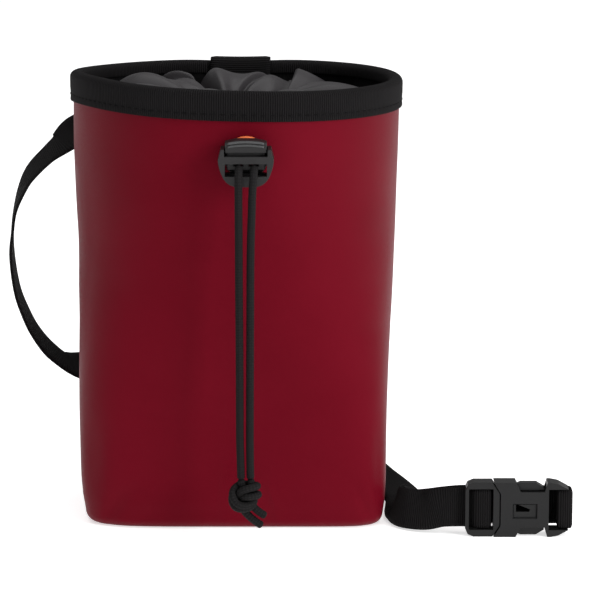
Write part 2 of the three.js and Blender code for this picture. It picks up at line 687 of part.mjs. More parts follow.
const femaleRows = [
  { along: -14.3, behind: behindBuckle + 3.3, above: -2.4, face: [0.3, 0.9, -0.3] },
  { along: -7, behind: behindBuckle + 1.5, above: -1, face: [0.15, 1, -0.15] },
  { along: 0, behind: behindBuckle + 0.5, above: 0, face: [0.1, 1, 0] },
  { along: 14, behind: behindBuckle, above: 0, face: [0, 1, 0] },
  { along: 30, behind: behindBuckle, above: 0, face: [0, 1, 0] },
  { along: endBarStart + 1.4, behind: behindBuckle, above: 0, face: [0.1, 1, 0] },
  { along: buckleLength + 0.2, behind: behindBuckle - 0.9, above: 0, face: [0.7, 0.7, 0] },
  { along: buckleLength + wrap, behind: behindBuckle - 2.6, above: 0, face: [1, 0.1, 0] },
  { along: buckleLength + wrap, behind: -endBarHalf * 0.3, above: 0, face: [1, 0, 0] },
  { along: buckleLength + wrap * 0.8, behind: -endBarHalf - wrap * 0.6, above: 0, face: [0.9, -1, 0] },
  { along: buckleLength - wrap * 0.2, behind: -endWrap, above: 0, face: [0, -1, 0] },
  { along: endBarStart + wrap * 0.2, behind: -endWrap, above: 0, face: [0, -1, 0] },
  { along: endBarStart - wrap * 0.8, behind: -endBarHalf - wrap * 0.6, above: 0, face: [-0.9, -1, 0] },
  { along: endBarStart - wrap, behind: 0, above: 0, face: [-1, 0, 0] },
  { along: endBarStart - wrap * 0.8, behind: endBarHalf + wrap * 0.6, above: 0, face: [-0.9, 1, 0] },
  { along: endBarStart + wrap * 0.2, behind: endWrap, above: 0, face: [0, 1, 0] },
  { along: endBarStart + wrap * 1.6, behind: endWrap, above: 0, face: [0, 1, 0] },
];

const ringsPerRow = 2;

function waistBelt() {
  const atBuckle = (row) => new THREE.Vector3(row.along, row.behind, row.above).add(buckleGroup.position);
  const atBag = (row) => bagPoint(row.angle * degrees, row.height * bagHeight, -row.standOff);
  const faceOf = (row) => new THREE.Vector3(...row.face).normalize();
  const sharedPlaces = sharedRows.map(atBag);
  const sharedFaces = sharedRows.map((row, index) => {
    const before = sharedPlaces[Math.max(index - 1, 0)];
    const after = sharedPlaces[Math.min(index + 1, sharedPlaces.length - 1)];
    const heading = after.clone().sub(before).normalize();
    const face = faceOf(row);
    return face.addScaledVector(heading, -face.dot(heading)).normalize();
  });
  const underPlaces = sharedPlaces.map((place, index) => {
    return place.clone().addScaledVector(sharedFaces[index], -strandSpacing);
  });
  const underFaces = sharedFaces.map((face) => face.clone().negate());
  const centres = new THREE.CatmullRomCurve3([
    ...maleRows.map(atBuckle),
    ...sharedPlaces,
    ...backAndLeftRows.map(atBag),
    ...underPlaces.reverse(),
    ...femaleRows.map(atBuckle),
  ]);
  const faces = new THREE.CatmullRomCurve3([
    ...maleRows.map(faceOf),
    ...sharedFaces,
    ...backAndLeftRows.map(faceOf),
    ...underFaces.reverse(),
    ...femaleRows.map(faceOf),
  ]);
  const ringCount = (centres.points.length - 1) * ringsPerRow;
  const rings = [];
  for (let step = 0; step <= ringCount; step += 1) {
    const centre = centres.getPoint(step / ringCount);
    const heading = centres.getTangent(step / ringCount);
    const face = faces.getPoint(step / ringCount);
    face.addScaledVector(heading, -face.dot(heading)).normalize().multiplyScalar(webbingWall / 2);
    const side = new THREE.Vector3().crossVectors(heading, face).setLength(beltWidth / 2);
    rings.push([
      centre.clone().add(face).add(side),
      centre.clone().add(face).sub(side),
      centre.clone().sub(face).sub(side),
      centre.clone().sub(face).add(side),
    ]);
  }
  return loft(rings, "strips");
}

addPiece(bag, "waist_belt", waistBelt(), 0x141314, 0.85);

// Cord lock: a housing with a spring button. The button's plate slides down inside the housing and
// holds the two cords against the top edge of the window.
function lockOutline() {
  const half = lockWidth / 2;
  const rise = lockHeight / 2;
  const outline = new THREE.Shape();
  outline.moveTo(-half * 0.27, -rise);
  outline.lineTo(half * 0.27, -rise);
  outline.quadraticCurveTo(half * 0.62, -rise, half * 0.8, -rise * 0.57);
  outline.quadraticCurveTo(half * 0.98, -rise * 0.05, half, rise * 0.42);
  outline.lineTo(half * 0.9, rise);
  outline.lineTo(-half * 0.9, rise);
  outline.lineTo(-half, rise * 0.42);
  outline.quadraticCurveTo(-half * 0.98, -rise * 0.05, -half * 0.8, -rise * 0.57);
  outline.quadraticCurveTo(-half * 0.62, -rise, -half * 0.27, -rise);
  return outline;
}

const plateBottom = pinchTop - pinchBar;
const pocketBottom = plateBottom - pressTravel - mouthRoom * 2;
const mouthHalf = capWidth / 2 + mouthRoom;
const mouthDeep = capDepth / 2 + mouthRoom;
const mouthBottom = capBottom - pressTravel - mouthRoom;

function lockHousing() {
  const pocketHalf = plateWidth / 2 + mouthRoom;
  const pocketDeep = plateDepth / 2 + mouthRoom;
  const windowHalf = windowWidth / 2;
  return cutAway(plate(lockOutline(), lockDepth), [
    boxBetween([-mouthHalf, mouthHalf], [-mouthDeep, mouthDeep], [mouthBottom, lockHeight]),
    boxBetween([-mouthHalf, mouthHalf], [-lockDepth, 0], [mouthFront, lockHeight]),
    boxBetween([-pocketHalf, pocketHalf], [-pocketDeep, pocketDeep], [pocketBottom, lockHeight]),
    boxBetween([-windowHalf, windowHalf], [-lockDepth, lockDepth], [windowTop - windowHeight, windowTop]),
  ]);
}

function lockPlunger() {
  const capHalf = capWidth / 2;
  const capTop = capBottom + capHeight;
  const capOutline = outlineOf([
    [-capHalf, capBottom],
    [capHalf, capBottom],
    [capHalf, capTop - 0.9],
    [capHalf * 0.45, capTop],
    [-capHalf * 0.45, capTop],
    [-capHalf, capTop - 0.9],
  ]);
  const plateHalf = plateWidth / 2;
  const web = boxBetween([-plateHalf, plateHalf], [-plateDepth / 2, plateDepth / 2], [plateBottom, capBottom + 1]);
  const holes = [-1, 1].map((side) => {
    const centre = (side * cordSpacing) / 2;
    const across = [centre - cordHoleWidth / 2, centre + cordHoleWidth / 2];
    return boxBetween(across, [-plateDepth, plateDepth], [pinchTop, pinchTop + cordHoleWidth]);
  });
  return cutAway(joined([plate(capOutline, capDepth), web]), holes);
}

function lockEyelet() {
  const profile = [
    [eyeletBore / 2, -eyeletWall],
    [eyeletWidth / 2 - 0.4, -eyeletWall],
    [eyeletWidth / 2, -eyeletWall / 2],
    [eyeletWidth / 2, 0],
    [barrelWidth / 2, 0],
    [barrelWidth / 2, seatGap + insideInset],
    [eyeletBore / 2, seatGap + insideInset],
    [eyeletBore / 2, -eyeletWall],
  ].map(([radius, along]) => new THREE.Vector2(radius, along));
  const ring = new THREE.LatheGeometry(profile, 24);
  return ring.translate(0, lockDepth / 2 + seatGap + eyeletWall, eyeletRise);
}

addPiece(lockGroup, "lock_housing", lockHousing(), 0x2f2e2f, 0.5);
addPiece(lockGroup, "lock_plunger", lockPlunger(), 0x343334, 0.5);
addPiece(lockGroup, "lock_eyelet", lockEyelet(), 0xe67241, 0.5);

// Drawcord: two strands out of the lock's window, hanging to an overhand knot with two short ends
const leftCordRoute = [
  [2.0, -62.6, 143.0],
  [2.0, -63.8, 142.8],
  [2.0, -65.4, 142.2],
  [2.0, -66.8, 141.0],
  [1.95, -67.8, 139.3],
  [1.95, -68.3, 137.2],
  [1.95, -68.4, 134],
  [1.95, -68.3, 128],
  [2.0, -68.0, 116],
  [2.0, -67.5, 102],
  [2.05, -67.0, 88],
  [2.1, -66.5, 74],
  [2.1, -66.0, 60],
  [2.1, -65.6, 50],
  [2.1, -65.2, 41],
  [2.3, -64.8, 33],
  [2.45, -64.5, 25.8],
];
const rightCordRoute = [
  [7.6, -62.6, 143.0],
  [7.6, -63.8, 142.8],
  [7.6, -65.4, 142.2],
  [7.5, -66.8, 141.0],
  [7.4, -67.8, 139.3],
  [7.2, -68.3, 137.2],
  [7.0, -68.4, 134],
  [6.8, -68.3, 128],
  [6.4, -68.0, 116],
  [6.2, -67.5, 102],
  [6.1, -67.0, 88],
  [6.0, -66.5, 74],
  [5.9, -66.0, 60],
  [5.85, -65.6, 50],
  [5.8, -65.2, 41],
  [5.85, -64.8, 33],
  [5.95, -64.5, 25.8],
];
const knotCentre = [3.9, -64.4, 19.2];
const knotSize = [12.4, 9.6, 11.6];
const lowerTailRoute = [
  [3.2, -64.2, 15.4],
  [5.4, -64.4, 11.6],
  [8.2, -64.6, 9.2],
  [10.6, -64.6, 7.6],
];
const upperTailRoute = [
  [6.4, -65.0, 17.4],
  [8.8, -65.4, 14.8],
  [12.2, -65.4, 11.6],
];

const cordSteps = 40;
const cordSides = 8;
addPiece(bag, "drawcord_left", tube(leftCordRoute, cordDiameter, cordSteps, cordSides), 0x141313, 0.85);
addPiece(bag, "drawcord_right", tube(rightCordRoute, cordDiameter, cordSteps, cordSides), 0x141313, 0.85);

function drawcordKnot() {
  const lump = new THREE.SphereGeometry(0.5, 14, 10).scale(...knotSize).translate(...knotCentre);
  const lowerTail = tube(lowerTailRoute, cordDiameter, 5, cordSides);
  const upperTail = tube(upperTailRoute, cordDiameter, 4, cordSides);
  return joined([lump, lowerTail, upperTail]);
}

addPiece(bag, "drawcord_knot", drawcordKnot(), 0x141313, 0.85);

export default bag;
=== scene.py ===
import math
from collections import namedtuple

import bmesh
import bpy
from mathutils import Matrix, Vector, noise


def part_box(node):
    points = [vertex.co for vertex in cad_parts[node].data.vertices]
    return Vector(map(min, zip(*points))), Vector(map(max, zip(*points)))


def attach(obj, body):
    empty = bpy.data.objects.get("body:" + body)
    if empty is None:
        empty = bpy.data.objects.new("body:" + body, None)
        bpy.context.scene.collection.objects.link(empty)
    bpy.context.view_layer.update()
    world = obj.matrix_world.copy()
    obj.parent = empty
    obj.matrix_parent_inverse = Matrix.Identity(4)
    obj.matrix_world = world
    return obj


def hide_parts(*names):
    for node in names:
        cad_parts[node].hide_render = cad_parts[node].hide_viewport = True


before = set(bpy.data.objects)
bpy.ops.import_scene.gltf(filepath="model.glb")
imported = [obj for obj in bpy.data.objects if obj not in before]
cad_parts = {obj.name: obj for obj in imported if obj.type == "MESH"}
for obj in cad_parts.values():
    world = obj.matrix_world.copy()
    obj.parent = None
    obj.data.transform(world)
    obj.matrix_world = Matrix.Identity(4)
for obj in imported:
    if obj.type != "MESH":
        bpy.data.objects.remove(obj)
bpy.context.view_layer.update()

# The bag is looked at from 1.2 m in front and a little above, through a long lens that keeps its
# sides nearly parallel.
camera_tilt = 11.155
camera_data = bpy.data.cameras.new("product_camera")
camera_data.lens = 187.84
camera_data.sensor_width = 36
camera_data.clip_end = 20
camera = bpy.data.objects.new("product_camera", camera_data)
camera.location = (0.02448, -1.2, 0.318)
camera.rotation_euler = (math.radians(90 - camera_tilt), 0, 0)
bpy.context.scene.collection.objects.link(camera)
bpy.context.scene.camera = camera

# The drawcord: two 3 mm cords with a black plaited cover. They come out of the cord lock's window,
# hang down the front and are tied together in one overhand knot with two short fused ends.
cord_diameter = 0.003
plait_strands = 5
plait_length = 0.0021
plait_depth = 0.055
cord_sides = 30
cord_step = 0.00021
cord_curve_steps = 12
cord_black = (0.0045, 0.0041, 0.0043)
# The lighter cord colour is painted highlight on the plait's raised lumps, mixed with fibres lighter at
# random.
cord_lump_highlight_and_fibre = (0.015, 0.0138, 0.0144)

left_cord_route = [
    (0.0020, -0.0626, 0.1430),
    (0.0020, -0.0638, 0.1428),
    (0.0020, -0.0654, 0.1422),
    (0.0020, -0.0668, 0.1410),
    (0.00195, -0.0678, 0.1393),
    (0.00195, -0.0683, 0.1372),
    (0.00195, -0.0684, 0.1340),
    (0.00195, -0.0683, 0.1280),
    (0.0020, -0.0680, 0.1160),
    (0.0020, -0.0675, 0.1020),
    (0.00205, -0.0670, 0.0880),
    (0.0021, -0.0665, 0.0740),
    (0.0021, -0.0660, 0.0600),
    (0.0021, -0.0656, 0.0500),
    (0.0021, -0.0652, 0.0410),
    (0.0023, -0.0648, 0.0330),
    (0.00245, -0.0645, 0.0258),
]
right_cord_route = [
    (0.0076, -0.0626, 0.1430),
    (0.0076, -0.0638, 0.1428),
    (0.0076, -0.0654, 0.1422),
    (0.0075, -0.0668, 0.1410),
    (0.0074, -0.0678, 0.1393),
    (0.0072, -0.0683, 0.1372),
    (0.0070, -0.0684, 0.1340),
    (0.0068, -0.0683, 0.1280),
    (0.0064, -0.0680, 0.1160),
    (0.0062, -0.0675, 0.1020),
    (0.0061, -0.0670, 0.0880),
    (0.0060, -0.0665, 0.0740),
    (0.0059, -0.0660, 0.0600),
    (0.00585, -0.0656, 0.0500),
    (0.0058, -0.0652, 0.0410),
    (0.00585, -0.0648, 0.0330),
    (0.00595, -0.0645, 0.0258),
]
# Each strand goes down behind the wraps, forwards and up the left side, round the back to the right,
# across the front and down through the loop to its free end.
left_strand_route = [
    (0.00245, -0.0645, 0.0258),
    (0.0028, -0.0638, 0.0236),
    (0.0041, -0.0631, 0.0210),
    (0.0056, -0.0634, 0.0186),
    (0.0064, -0.0650, 0.0170),
    (0.0050, -0.0668, 0.0163),
    (0.0029, -0.0675, 0.0163),
    (0.0009, -0.0673, 0.0171),
    (-0.0005, -0.0665, 0.0190),
    (-0.0006, -0.0649, 0.0210),
    (0.0008, -0.0629, 0.0226),
    (0.0032, -0.0615, 0.0230),
    (0.0060, -0.0614, 0.0228),
    (0.0079, -0.0627, 0.0229),
    (0.0084, -0.0649, 0.0233),
    (0.0073, -0.0667, 0.0233),
    (0.0051, -0.0674, 0.0229),
    (0.0030, -0.0668, 0.0219),
    (0.0019, -0.0654, 0.0200),
    (0.0018, -0.0640, 0.0176),
    (0.0024, -0.0636, 0.0152),
    (0.0038, -0.0641, 0.0132),
    (0.0060, -0.0645, 0.0110),
    (0.0084, -0.0646, 0.0091),
    (0.0104, -0.0646, 0.0078),
]
right_strand_route = [
    (0.00595, -0.0645, 0.0258),
    (0.0063, -0.0635, 0.0234),
    (0.0068, -0.0628, 0.0208),
    (0.0073, -0.0635, 0.0182),
    (0.0066, -0.0653, 0.0160),
    (0.0045, -0.0665, 0.0150),
    (0.0022, -0.0666, 0.0149),
    (0.0002, -0.0660, 0.0156),
    (-0.0009, -0.0648, 0.0175),
    (-0.0006, -0.0629, 0.0196),
    (0.0013, -0.0613, 0.0203),
    (0.0038, -0.0610, 0.0198),
    (0.0065, -0.0612, 0.0194),
    (0.0083, -0.0626, 0.0196),
    (0.0088, -0.0647, 0.0198),
    (0.0077, -0.0665, 0.0198),
    (0.0055, -0.0672, 0.0196),
    (0.0036, -0.0664, 0.0194),
    (0.0033, -0.0650, 0.0182),
    (0.0046, -0.0643, 0.0168),
    (0.0064, -0.0646, 0.0157),
    (0.0084, -0.0651, 0.0140),
    (0.0102, -0.0653, 0.0127),
    (0.0118, -0.0653, 0.0118),
]


def smooth_curve(points, steps):
    """Points along the centripetal curve through a few chosen ones, steps to each span."""
    chosen = [Vector(point) for point in points]
    ends = [2 * chosen[0] - chosen[1], *chosen, 2 * chosen[-1] - chosen[-2]]
    curve = []
    for before, start, end, after in zip(ends, ends[1:], ends[2:], ends[3:]):
        span = max(math.sqrt((end - start).length), 1e-5)
        gap_before = math.sqrt((start - before).length) or span
        gap_after = math.sqrt((after - end).length) or span
        step_in = (end - start) / span
        leaving = (start - before) / gap_before - (end - before) / (gap_before + span) + step_in
        arriving = step_in - (after - start) / (span + gap_after) + (after - end) / gap_after
        leaving, arriving = leaving * span, arriving * span
        for step in range(steps):
            t = step / steps
            square, cube = t ** 2, t ** 3
            curve.append(
                start * (2 * cube - 3 * square + 1) + leaving * (cube - 2 * square + t)
                + end * (3 * square - 2 * cube) + arriving * (cube - square)
            )
    curve.append(chosen[-1])
    return curve


def evenly_spaced(curve, spacing):
    """The same curve as points an equal distance apart."""
    lengths = [0.0]
    for here, there in zip(curve, curve[1:]):
        lengths.append(lengths[-1] + (there - here).length)
    count = max(2, round(lengths[-1] / spacing))
    points, span = [], 0
    for step in range(count + 1):
        distance = lengths[-1] * step / count
        while span < len(curve) - 2 and lengths[span + 1] < distance:
            span += 1
        share = (distance - lengths[span]) / max(lengths[span + 1] - lengths[span], 1e-12)
        points.append(curve[span].lerp(curve[span + 1], share))
    return points


def patch(rows, closed=True, ends="fans"):
    """Faces over rows of points, and each face corner's place on the flat cloth in metres."""
    width = len(rows[0])
    points = [point for row in rows for point in row]
    middle = rows[len(rows) // 2]
    across = [0.0]
    for here, there in zip(middle, middle[1:] + middle[:1]):
        across.append(across[-1] + (there - here).length)
    along = [0.0]
    for low, high in zip(rows, rows[1:] + rows[:1]):
        steps = [(high[column] - low[column]).length for column in range(0, width, max(1, width // 4))]
        along.append(along[-1] + sum(steps) / len(steps))
    faces, places = [], []
    for row in range(len(rows) if ends == "joined" else len(rows) - 1):
        start, next_start = row * width, ((row + 1) % len(rows)) * width
        for column in range(width if closed else width - 1):
            beside = (column + 1) % width
            faces.append((start + column, start + beside, next_start + beside, next_start + column))
            places += [
                (across[column], along[row]), (across[column + 1], along[row]),
                (across[column + 1], along[row + 1]), (across[column], along[row + 1]),
            ]
    if ends == "fans":
        for row in (0, len(rows) - 1):
            centre = sum(rows[row], Vector()) / width
            points.append(centre)
            for column in range(width):
                faces.append((row * width + column, row * width + (column + 1) % width, len(points) - 1))
                places += [(across[column], along[row]), (across[column + 1], along[row])]
                places.append((across[column], along[row]))
    return points, faces, places


def make_piece(name, patches, finish, stands_for=(), body="bag"):
    """A smooth mesh piece from one or more closed patches, riding on its body."""
    points, faces, places = [], [], []
    for patch_points, patch_faces, patch_places in patches:
        faces += [tuple(len(points) + index for index in face) for face in patch_faces]
        points += patch_points
        places += patch_places
    mesh = bpy.data.meshes.new(name)
    mesh.from_pydata(points, [], faces)
    cloth = mesh.uv_layers.new(name="cloth")
    cloth.data.foreach_set("uv", [number for place in places for number in place])
    shell = bmesh.new()
    shell.from_mesh(mesh)
    bmesh.ops.recalc_face_normals(shell, faces=shell.faces)
    shell.to_mesh(mesh)
    shell.free()
    mesh.shade_smooth()
    mesh.materials.append(finish)
    piece = bpy.data.objects.new(name, mesh)
    bpy.context.scene.collection.objects.link(piece)
    return dress(piece, stands_for, body)


def dress(piece, stands_for=(), body="bag"):
    """Says which body a piece moves with, and hides the solids that it stands for."""
    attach(piece, body)
    if stands_for:
        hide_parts(*stands_for)
    return piece


def cord_rows(route):
    """Rings round an even route, with the lumps of the plait and rounded, fused ends."""
    radius = cord_diameter / 2
    rows = []
    side = Vector((1, 0, 0))
    last = len(route) - 1
    for index, centre in enumerate(route):
        heading = (route[min(index + 1, last)] - route[max(index - 1, 0)]).normalized()
        side = (side - heading * side.dot(heading)).normalized()
        other = heading.cross(side)
        distance = index * cord_step
        from_end = min(index, last - index) * cord_step
        narrowing = math.sqrt(1 - max(0, 1 - from_end / (radius * 0.6)) ** 2)
        row = []
        for step in range(cord_sides):
            angle = math.tau * step / cord_sides
            twist = math.tau * distance / plait_length
            lump = math.cos(plait_strands * angle + twist) * math.cos(plait_strands * angle - twist)
            reach = radius * (1 - plait_depth + plait_depth * lump) * (0.35 + 0.65 * narrowing)
            row.append(centre + (side * math.cos(angle) + other * math.sin(angle)) * reach)
        rows.append(row)
    return rows


class Wire:
    """An output of a material's node, with arithmetic that adds Math nodes."""

    def __init__(self, tree, socket=None):
        self.tree = tree
        self.socket = socket

    def node(self, kind, settings=None, inputs=None, output=0):
        """Any node: its settings are set first, then the values or wires of its inputs."""
        made = self.tree.nodes.new(kind)
        for setting, value in (settings or {}).items():
            setattr(made, setting, value)
        for name, value in (inputs or {}).items():
            if isinstance(value, Wire):
                self.tree.links.new(value.socket, made.inputs[name])
            else:
                made.inputs[name].default_value = value
        return Wire(self.tree, made.outputs[output] if made.outputs else None)

    def sum(self, operation, *numbers):
        return self.node("ShaderNodeMath", {"operation": operation}, dict(enumerate(numbers)))

    def __add__(self, other):
        return self.sum("ADD", self, other)

    __radd__ = __add__

    def __sub__(self, other):
        return self.sum("SUBTRACT", self, other)

    def __mul__(self, other):
        return self.sum("MULTIPLY", self, other)

    __rmul__ = __mul__

    def wave(self, length):
        """A wave from 0 to 1 along a distance."""
        return 0.5 + 0.5 * self.sum("SINE", self * (math.tau / length))

    def colours(self, low, high):
        """The mix of two colours by this share."""
        inputs = {0: self, 6: low if isinstance(low, Wire) else (*low, 1)}
        inputs[7] = high if isinstance(high, Wire) else (*high, 1)
        return self.node("ShaderNodeMix", {"data_type": "RGBA"}, inputs, 2)


def start_finish(name):
    """An empty material and a wire to add its nodes with."""
    finish = bpy.data.materials.new(name)
    finish.use_nodes = True
    finish.node_tree.nodes.clear()
    return finish, Wire(finish.node_tree)


def cloth_place(nodes):
    """The distances across and along the flat cloth."""
    place = nodes.node("ShaderNodeUVMap", {"uv_map": "cloth"})
    across = nodes.node("ShaderNodeSeparateXYZ", {}, {"Vector": place}, "X")
    along = nodes.node("ShaderNodeSeparateXYZ", {}, {"Vector": place}, "Y")
    return across, along


def speckle(nodes, size, detail=2.0):
    """Noise from 0 to 1 with lumps of a size in metres, fixed to the object."""
    place = nodes.node("ShaderNodeTexCoord", output="Object")
    inputs = {"Vector": place, "Scale": 1 / size, "Detail": detail}
    return nodes.node("ShaderNodeTexNoise", {}, inputs)


def end_finish(nodes, colour, roughness, relief, depth, **constants):
    """The shader: colour, roughness and relief vary, and all else is one number."""
    normal = nodes.node("ShaderNodeBump", {}, {"Strength": 1.0, "Distance": depth, "Height": relief})
    inputs = {"Base Color": colour, "Roughness": roughness, "Normal": normal}
    inputs.update({name.replace("_", " "): value for name, value in constants.items()})
    shader = nodes.node("ShaderNodeBsdfPrincipled", {}, inputs)
    nodes.node("ShaderNodeOutputMaterial", {}, {"Surface": shader})


def plaited_finish():
    finish, nodes = start_finish("plaited_cord")
    across, along = cloth_place(nodes)
    fibre = speckle(nodes, size=0.00035)
    lumps = along.wave(plait_length / 2) * across.wave(math.pi * cord_diameter / 10)
    # The plait's raised lumps are painted lighter and its hollows darker as highlight and shade; fibres
    # vary at random.
    shade = (lumps * 0.6 + fibre * 0.4).colours(cord_black, cord_lump_highlight_and_fibre)
    end_finish(nodes, shade, 0.75 + fibre * 0.2, fibre + lumps, 0.00012, Specular_IOR_Level=0.14)
    return finish


plaited = plaited_finish()
cords = []
for name, route in (("drawcord_left", left_cord_route), ("drawcord_right", right_cord_route)):
    path = evenly_spaced(smooth_curve(route, cord_curve_steps), cord_step)
    cord = make_piece(name + "_plait", [patch(cord_rows(path))], plaited, [name])
    cords.append((cord, route, path))
strands = [
    patch(cord_rows(evenly_spaced(smooth_curve(route, cord_curve_steps), cord_step)))
    for route in (left_strand_route, right_strand_route)
]
knot = make_piece("drawcord_overhand_knot", strands, plaited, ["drawcord_knot"])
for cord, route, path in cords:
    length = sum((there - here).length for here, there in zip(path, path[1:]))

# The body: a padded cloth tube in dark red coated nylon, oval at the rim and a rounded box at the
# floor, sewn to an oval bottom that is turned in. It is soft, so its walls dip and crease a little.
bag_height = 0.1696
rim_width = 0.128
rim_depth = 0.114
shell_wall = 0.0018
lining_wall = 0.001
cloth_gap = 0.0003
binding_wall = 0.0009
bottom_rounding = 0.0045
shell_red = (0.094, 0.0014, 0.0062)
shell_red_light = (0.126, 0.0026, 0.0098)
twill_pitch = 0.00052
broad_dip = 0.0008
small_dip = 0.00018

# height is a share of bag_height, width a share of rim_width and depth a share of rim_depth. middle is
# how far back the widest line lies as a share of rim_depth, and shift is how far right the section
# lies as a share of rim_width. left, right and back are the squareness of the front left corner, the
# front right corner and the back: 2 for an ellipse, higher for a box.
Section = namedtuple("Section", "height width depth middle left right back shift")
body_sections = [
    Section(0.025, 0.9, 0.722, -0.13, 5, 9, 2.4, -0.009),
    Section(0.06, 0.914, 0.739, -0.13, 4.8, 8.5, 2.4, -0.009),
    Section(0.1, 0.921, 0.748, -0.125, 4.6, 7.5, 2.4, -0.009),
    Section(0.27, 0.929, 0.785, -0.1, 3.8, 5, 2.4, -0.008),
    Section(0.45, 0.937, 0.839, -0.06, 3.1, 3.3, 2.4, -0.006),
    Section(0.55, 0.948, 0.869, -0.035, 2.75, 2.8, 2.35, -0.004),
    Section(0.64, 0.957, 0.898, -0.015, 2.55, 2.55, 2.3, -0.0025),
    Section(0.74, 0.969, 0.93, 0, 2.35, 2.35, 2.25, -0.0018),
    Section(0.83, 0.976, 0.954, 0, 2.2, 2.2, 2.2, -0.001),
    Section(0.93, 0.98, 0.973, 0, 2.1, 2.1, 2.2, 0),
    Section(1, 0.982, 0.979, 0, 2.1, 2.1, 2.2, 0.0005),
]
# angle runs round the bag from +X towards +Y in degrees, lean is how far a crease turns per share of
# height, depth is a share of the bottom's rounding, around is degrees and along a share of height.
Dent = namedtuple("Dent", "name angle lean height depth around along")
body_dents = [
    Dent("left corner crease", 236, 200, 0.05, 0.16, 7, 0.045),
    Dent("right corner crease", 306, -220, 0.05, 0.16, 7, 0.05),
    Dent("left corner hollow", 215, 0, 0.16, 0.2, 14, 0.1),
    Dent("right corner hollow", 327, 0, 0.14, 0.16, 12, 0.1),
]
# How much longer the cloth is to the rim at some angles, as a share of its height.
Rise = namedtuple("Rise", "name angle around rise")
rim_rises = [
    Rise("left side stands higher", 206, 42, 0.0195),
    Rise("front bows up a little", 265, 30, 0.0044),
    Rise("pressed down under the strap", 89.6, 13, -0.005),
]


def from_angle(angle, centre):
    """How far an angle in radians is from one in degrees, in degrees from -180 to 180."""
    return (math.degrees(angle) - centre + 540) % 360 - 180


def rim_rise(angle):
    """How much longer the cloth is to the rim at an angle."""
    rise = 0
    for row in rim_rises:
        rise += row.rise * math.exp(-((from_angle(angle, row.angle) / row.around) ** 2))
    return rise


def section_at(height):
    """The body's section at a height, with its widths in metres."""
    share = min(max(height / bag_height, body_sections[0].height), 1)
    high = next(row for row in body_sections[1:] if row.height >= share)
    low = body_sections[body_sections.index(high) - 1]
    part = (share - low.height) / (high.height - low.height)
    mixed = Section(*[start + (end - start) * part for start, end in zip(low, high)])
    return mixed._replace(
        width=mixed.width * rim_width, depth=mixed.depth * rim_depth,
        middle=mixed.middle * rim_depth, shift=mixed.shift * rim_width,
    )


def dent_at(angle, height):
    """How deep the corner creases and hollows are at an angle and a height."""
    depth = 0
    for dent in body_dents:
        rise = height / bag_height - dent.height
        away = from_angle(angle, dent.angle + dent.lean * rise) / dent.around
        depth += dent.depth * bottom_rounding * math.exp(-away ** 2 - (rise / dent.along) ** 2)
    return depth


def bag_point(angle, height, inset):
    """A point of the body at an angle and a height, inset from the outer cloth by a distance."""
    section = section_at(height)
    rounding = min(max(bottom_rounding - inset, 0), bottom_rounding)
    drop = min(max(bottom_rounding - height, 0), rounding)
    pulled_in = rounding - math.sqrt(rounding ** 2 - drop ** 2)
    around = angle % math.tau
    inwards = inset + pulled_in + dent_at(around, height)
    at_back = around < math.pi
    front = section.left if around < math.tau * 0.75 else section.right
    power = 2 / (section.back if at_back else front)
    reach = section.depth / 2 + (-section.middle if at_back else section.middle)
    across, deep = math.cos(angle), math.sin(angle)
    x = (section.width / 2 - inwards) * math.copysign(abs(across) ** power, across)
    y = (reach - inwards) * math.copysign(abs(deep) ** power, deep)
    return Vector((section.shift + x, section.middle + y, height * (1 + rim_rise(around))))


def even_angles(count, height):
    """Angles whose points lie evenly along the body's outline at a height."""
    fine = [math.tau * step / 1440 for step in range(1441)]
    outline = [bag_point(angle, height, 0) for angle in fine]
    lengths = [0.0]
    for here, there in zip(outline, outline[1:]):
        lengths.append(lengths[-1] + (there - here).length)
    angles, index = [], 0
    for step in range(count):
        target = lengths[-1] * step / count
        while lengths[index + 1] < target:
            index += 1
        part = (target - lengths[index]) / (lengths[index + 1] - lengths[index])
        angles.append(fine[index] + (fine[index + 1] - fine[index]) * part)
    return angles


def softness(point):
    """How far the padded cloth gives in or stands out at a point, in metres."""
    broad = noise.noise(point * 16) * broad_dip
    small = noise.noise(point * 60 + Vector((3, 1, 7))) * small_dip
    share = point.z / bag_height
    fade = min(1, (0.94 - share) / 0.2) * min(1, share / 0.04)
    return (broad + small) * max(0, fade)


def cup_rows(outer, wall, around, up):
    """A cup of cloth: up the outside from the middle of the bottom, over, and down the inside."""
    marks = [bag_height * share for share in (0, 0.1, 0.27, 0.45, 0.64, 0.83, 1)]
    marked = [even_angles(around, mark) for mark in marks]
    top = bag_height - binding_wall - cloth_gap
    rows = []
    for inset in (outer, outer + wall):
        rounding = bottom_rounding - inset
        heights = [inset + rounding * (1 - math.cos(math.pi / 2 * step / 8)) for step in range(8)]
        heights += [bottom_rounding + (top - bottom_rounding) * step / up for step in range(up + 1)]
        floor_ring = [bag_point(angle, inset, inset) for angle in marked[0]]
        centre = sum(floor_ring, Vector()) / around
        sheet = [[centre.lerp(point, step / 10) for point in floor_ring] for step in range(1, 10)]
        for height in heights:
            over = next(index for index in range(1, len(marks)) if marks[index] >= height)
            share = (height - marks[over - 1]) / (marks[over] - marks[over - 1])
            ring = []
            for low, high in zip(marked[over - 1], marked[over]):
                point = bag_point(low + (high - low) * share, height, inset)
                outwards = Vector((point.x, point.y * 1.2, 0)).normalized()
                ring.append(point + outwards * softness(point))
            sheet.append(ring)
        rows += sheet if inset == outer else sheet[::-1]
    return rows


